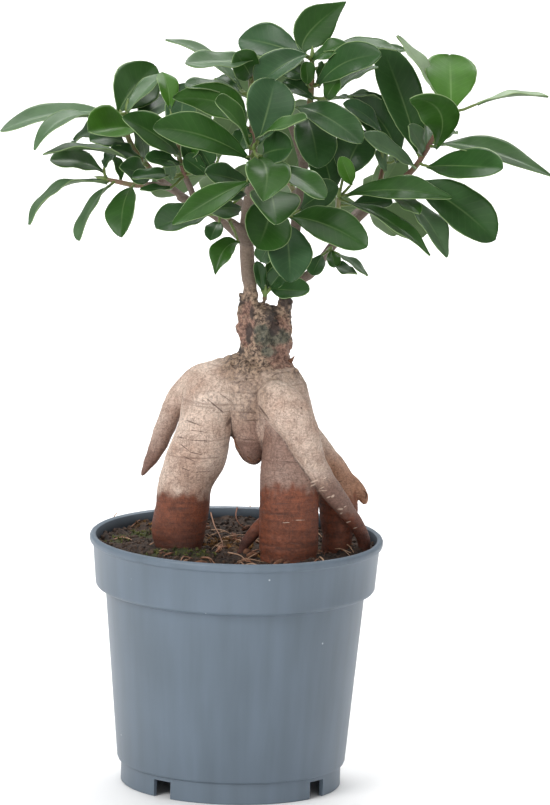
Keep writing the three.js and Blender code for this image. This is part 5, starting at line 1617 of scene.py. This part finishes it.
def bark_bits_mesh():
    """Flat splinters of bark lying on the soil."""
    shape = Shape()
    for _ in range(SPLINTERS):
        middle, turn = loose_place(SPLINTER_MARGIN)
        middle.z = soil_height(middle.x - AXIS_X, middle.y) + 0.9
        way = Vector((math.cos(turn * 5), math.sin(turn * 5), random.uniform(-0.3, 0.3)))
        way *= random.uniform(1.5, 4.5)
        line = [middle - way, middle - way * 0.3, middle + way * 0.4, middle + way]
        wide = random.uniform(0.7, 1.6)
        shape.put(*tube(line, [wide * k for k in (0.3, 1, 0.8, 0.2)], [0.4, 0.5, 0.4, 0.2], 6),
                  straw=random.random())
    return shape.mesh("bark_bits")


# The plant in its pot, piece by piece.

GREEN = leaf_wax()
PEAT = soil_peat()
# Crumbs of peat dry lighter and browner than the damp peat under them.
CRUMBS = earthy("peat crumbs", "#16110e", "#523f33", 2.6)
# Living moss is dark olive between its strands and yellow green on them, and dry moss is tan.
MOSS_GREEN = earthy("living moss", "#2b3117", "#6f7338", 2.5)
MOSS_BROWN = earthy("dry moss", "#4d3118", "#9a7038", 3)
# Splinters of bark and fine roots are a warm mid brown.
BARK_BITS = earthy("bark splinters", "#3c261c", "#8a5f47", 4)

shown("nursery_pot", pot_mesh(), pot_plastic(), "pot", "pot")

# What is strewn over the soil: copies to the square metre, how far they tilt, and their sizes.
ground = soil_mesh()
tufts = strewn("moss_tufts", ground, sprig_mesh(), "mossy", MOSS_GREEN,
               Density=1.9e5, Tilt=0.7, Smallest=0.35, Largest=0.8, Seed=3)
brown_tufts = strewn("dry_moss_tufts", ground, sprig_mesh(), "dry", MOSS_BROWN,
                     Density=1.4e5, Tilt=1.0, Smallest=0.35, Largest=0.8, Seed=5)
crumbs = strewn("peat_crumbs", ground, crumb_mesh(), "loose", CRUMBS,
                Density=1.5e5, Tilt=3.1, Smallest=0.3, Largest=1.35, Seed=9)
shown("soil_top", ground, PEAT, "soil", "soil")
shown("moss_tufts", tufts, MOSS_GREEN, "soil")
shown("dry_moss_tufts", brown_tufts, MOSS_BROWN, "soil")
shown("peat_crumbs", crumbs, CRUMBS, "soil")
shown("dry_fibres", fibres_mesh(), straw_dry(), "soil")
shown("bark_bits", bark_bits_mesh(), BARK_BITS, "soil")

bark_skin = worked_skin()
bark_faces = BVHTree.FromPolygons([v.co for v in bark_skin.vertices],
                                  [f.vertices for f in bark_skin.polygons])
BARK = fig_bark(placed_marks(bark_faces, DARK_LINES_AND_PAINTED_CREASES), placed_marks(bark_faces, PALE_MARKS))
shown("rootstock", bark_skin, BARK, "bark", "trunk")
shown("fine_roots", fine_roots_mesh(), BARK_BITS, "bark")

for name in SHOOTS:
    shown(name + "_leaves", leafy_shoot(name), GREEN, "leaf", name)
for name in BACK_SHOOTS:
    shown(name + "_leaves", back_shoot(name), GREEN, "leaf", name)


# The room: a wide white floor under the plant, soft lights and the camera. The camera stands so far
# off, in metres, that a pixel of the picture covers nearly the same width all over the plant. Its
# sensor of 36 mm runs along the picture's longer side.

FLOOR_REACH = 20000
PLANT_MIDDLE = Vector((0, 0, 0.16))
ROOM_LIGHT = 0.45
MM_PER_PIXEL = 0.408
PICTURE_HEIGHT = 805
PICTURE_MIDDLE = (18.36, 155.2, 0)
EYE_DISTANCE = 5
SENSOR = 36

corners = [(-1, -1), (1, -1), (1, 1), (-1, 1)]
floor_shape = Shape()
floor_shape.put([Vector((x * FLOOR_REACH, y * FLOOR_REACH, 0)) for x, y in corners], [(0, 1, 2, 3)])
floor = bpy.data.objects.new("floor", floor_shape.mesh("floor"))
bpy.context.scene.collection.objects.link(floor)
# White paper, matt, a little short of pure white.
paper, paper_tree, paper_shader, _ = finish_of("white paper")
fill(paper_tree, paper_shader, {"Base Color": linear("#f4f4f4"), "Roughness": 0.9})
floor.data.materials.append(paper)

world = bpy.data.worlds.new("room")
bpy.context.scene.world = world
world.use_nodes = True
sky = world.node_tree.nodes["Background"]
fill(world.node_tree, sky, {"Color": (1, 1, 1, 1), "Strength": ROOM_LIGHT})


def softbox(name, place, size, watts, target=PLANT_MIDDLE):
    """A soft light of a size in metres that shines on a target and doesn't show itself."""
    data = bpy.data.lights.new(name, "AREA")
    data.shape = "RECTANGLE"
    data.size, data.size_y = size
    data.energy = watts
    lamp = bpy.data.objects.new(name, data)
    bpy.context.scene.collection.objects.link(lamp)
    lamp.location = place
    lamp.rotation_euler = (target - Vector(place)).to_track_quat("-Z", "Y").to_euler()
    lamp.visible_camera = False


softbox("key", (-1.0, -1.2, 1.1), (0.9, 0.9), 21)
softbox("top", (0.2, -0.1, 1.9), (1.2, 1.2), 7)
softbox("fill", (1.35, -5.7, 0.9), (4.2, 2.7), 58)
softbox("rear floor", (0.0, 1.1, 1.7), (2.4, 1.0), 60, Vector((0, 1.8, 0)))

bpy.context.scene.view_settings.view_transform = "Standard"

lens = bpy.data.cameras.new("camera")
camera = bpy.data.objects.new("camera", lens)
bpy.context.scene.collection.objects.link(camera)
bpy.context.scene.camera = camera
camera.location = seen(*PICTURE_MIDDLE) * MM + TO_EYE * EYE_DISTANCE
camera.rotation_euler = Matrix((VIEW_RIGHT, VIEW_UP, TO_EYE)).transposed().to_euler()
lens.sensor_width = SENSOR
lens.lens = SENSOR * EYE_DISTANCE / (MM_PER_PIXEL * PICTURE_HEIGHT * MM)
lens.clip_end = 100
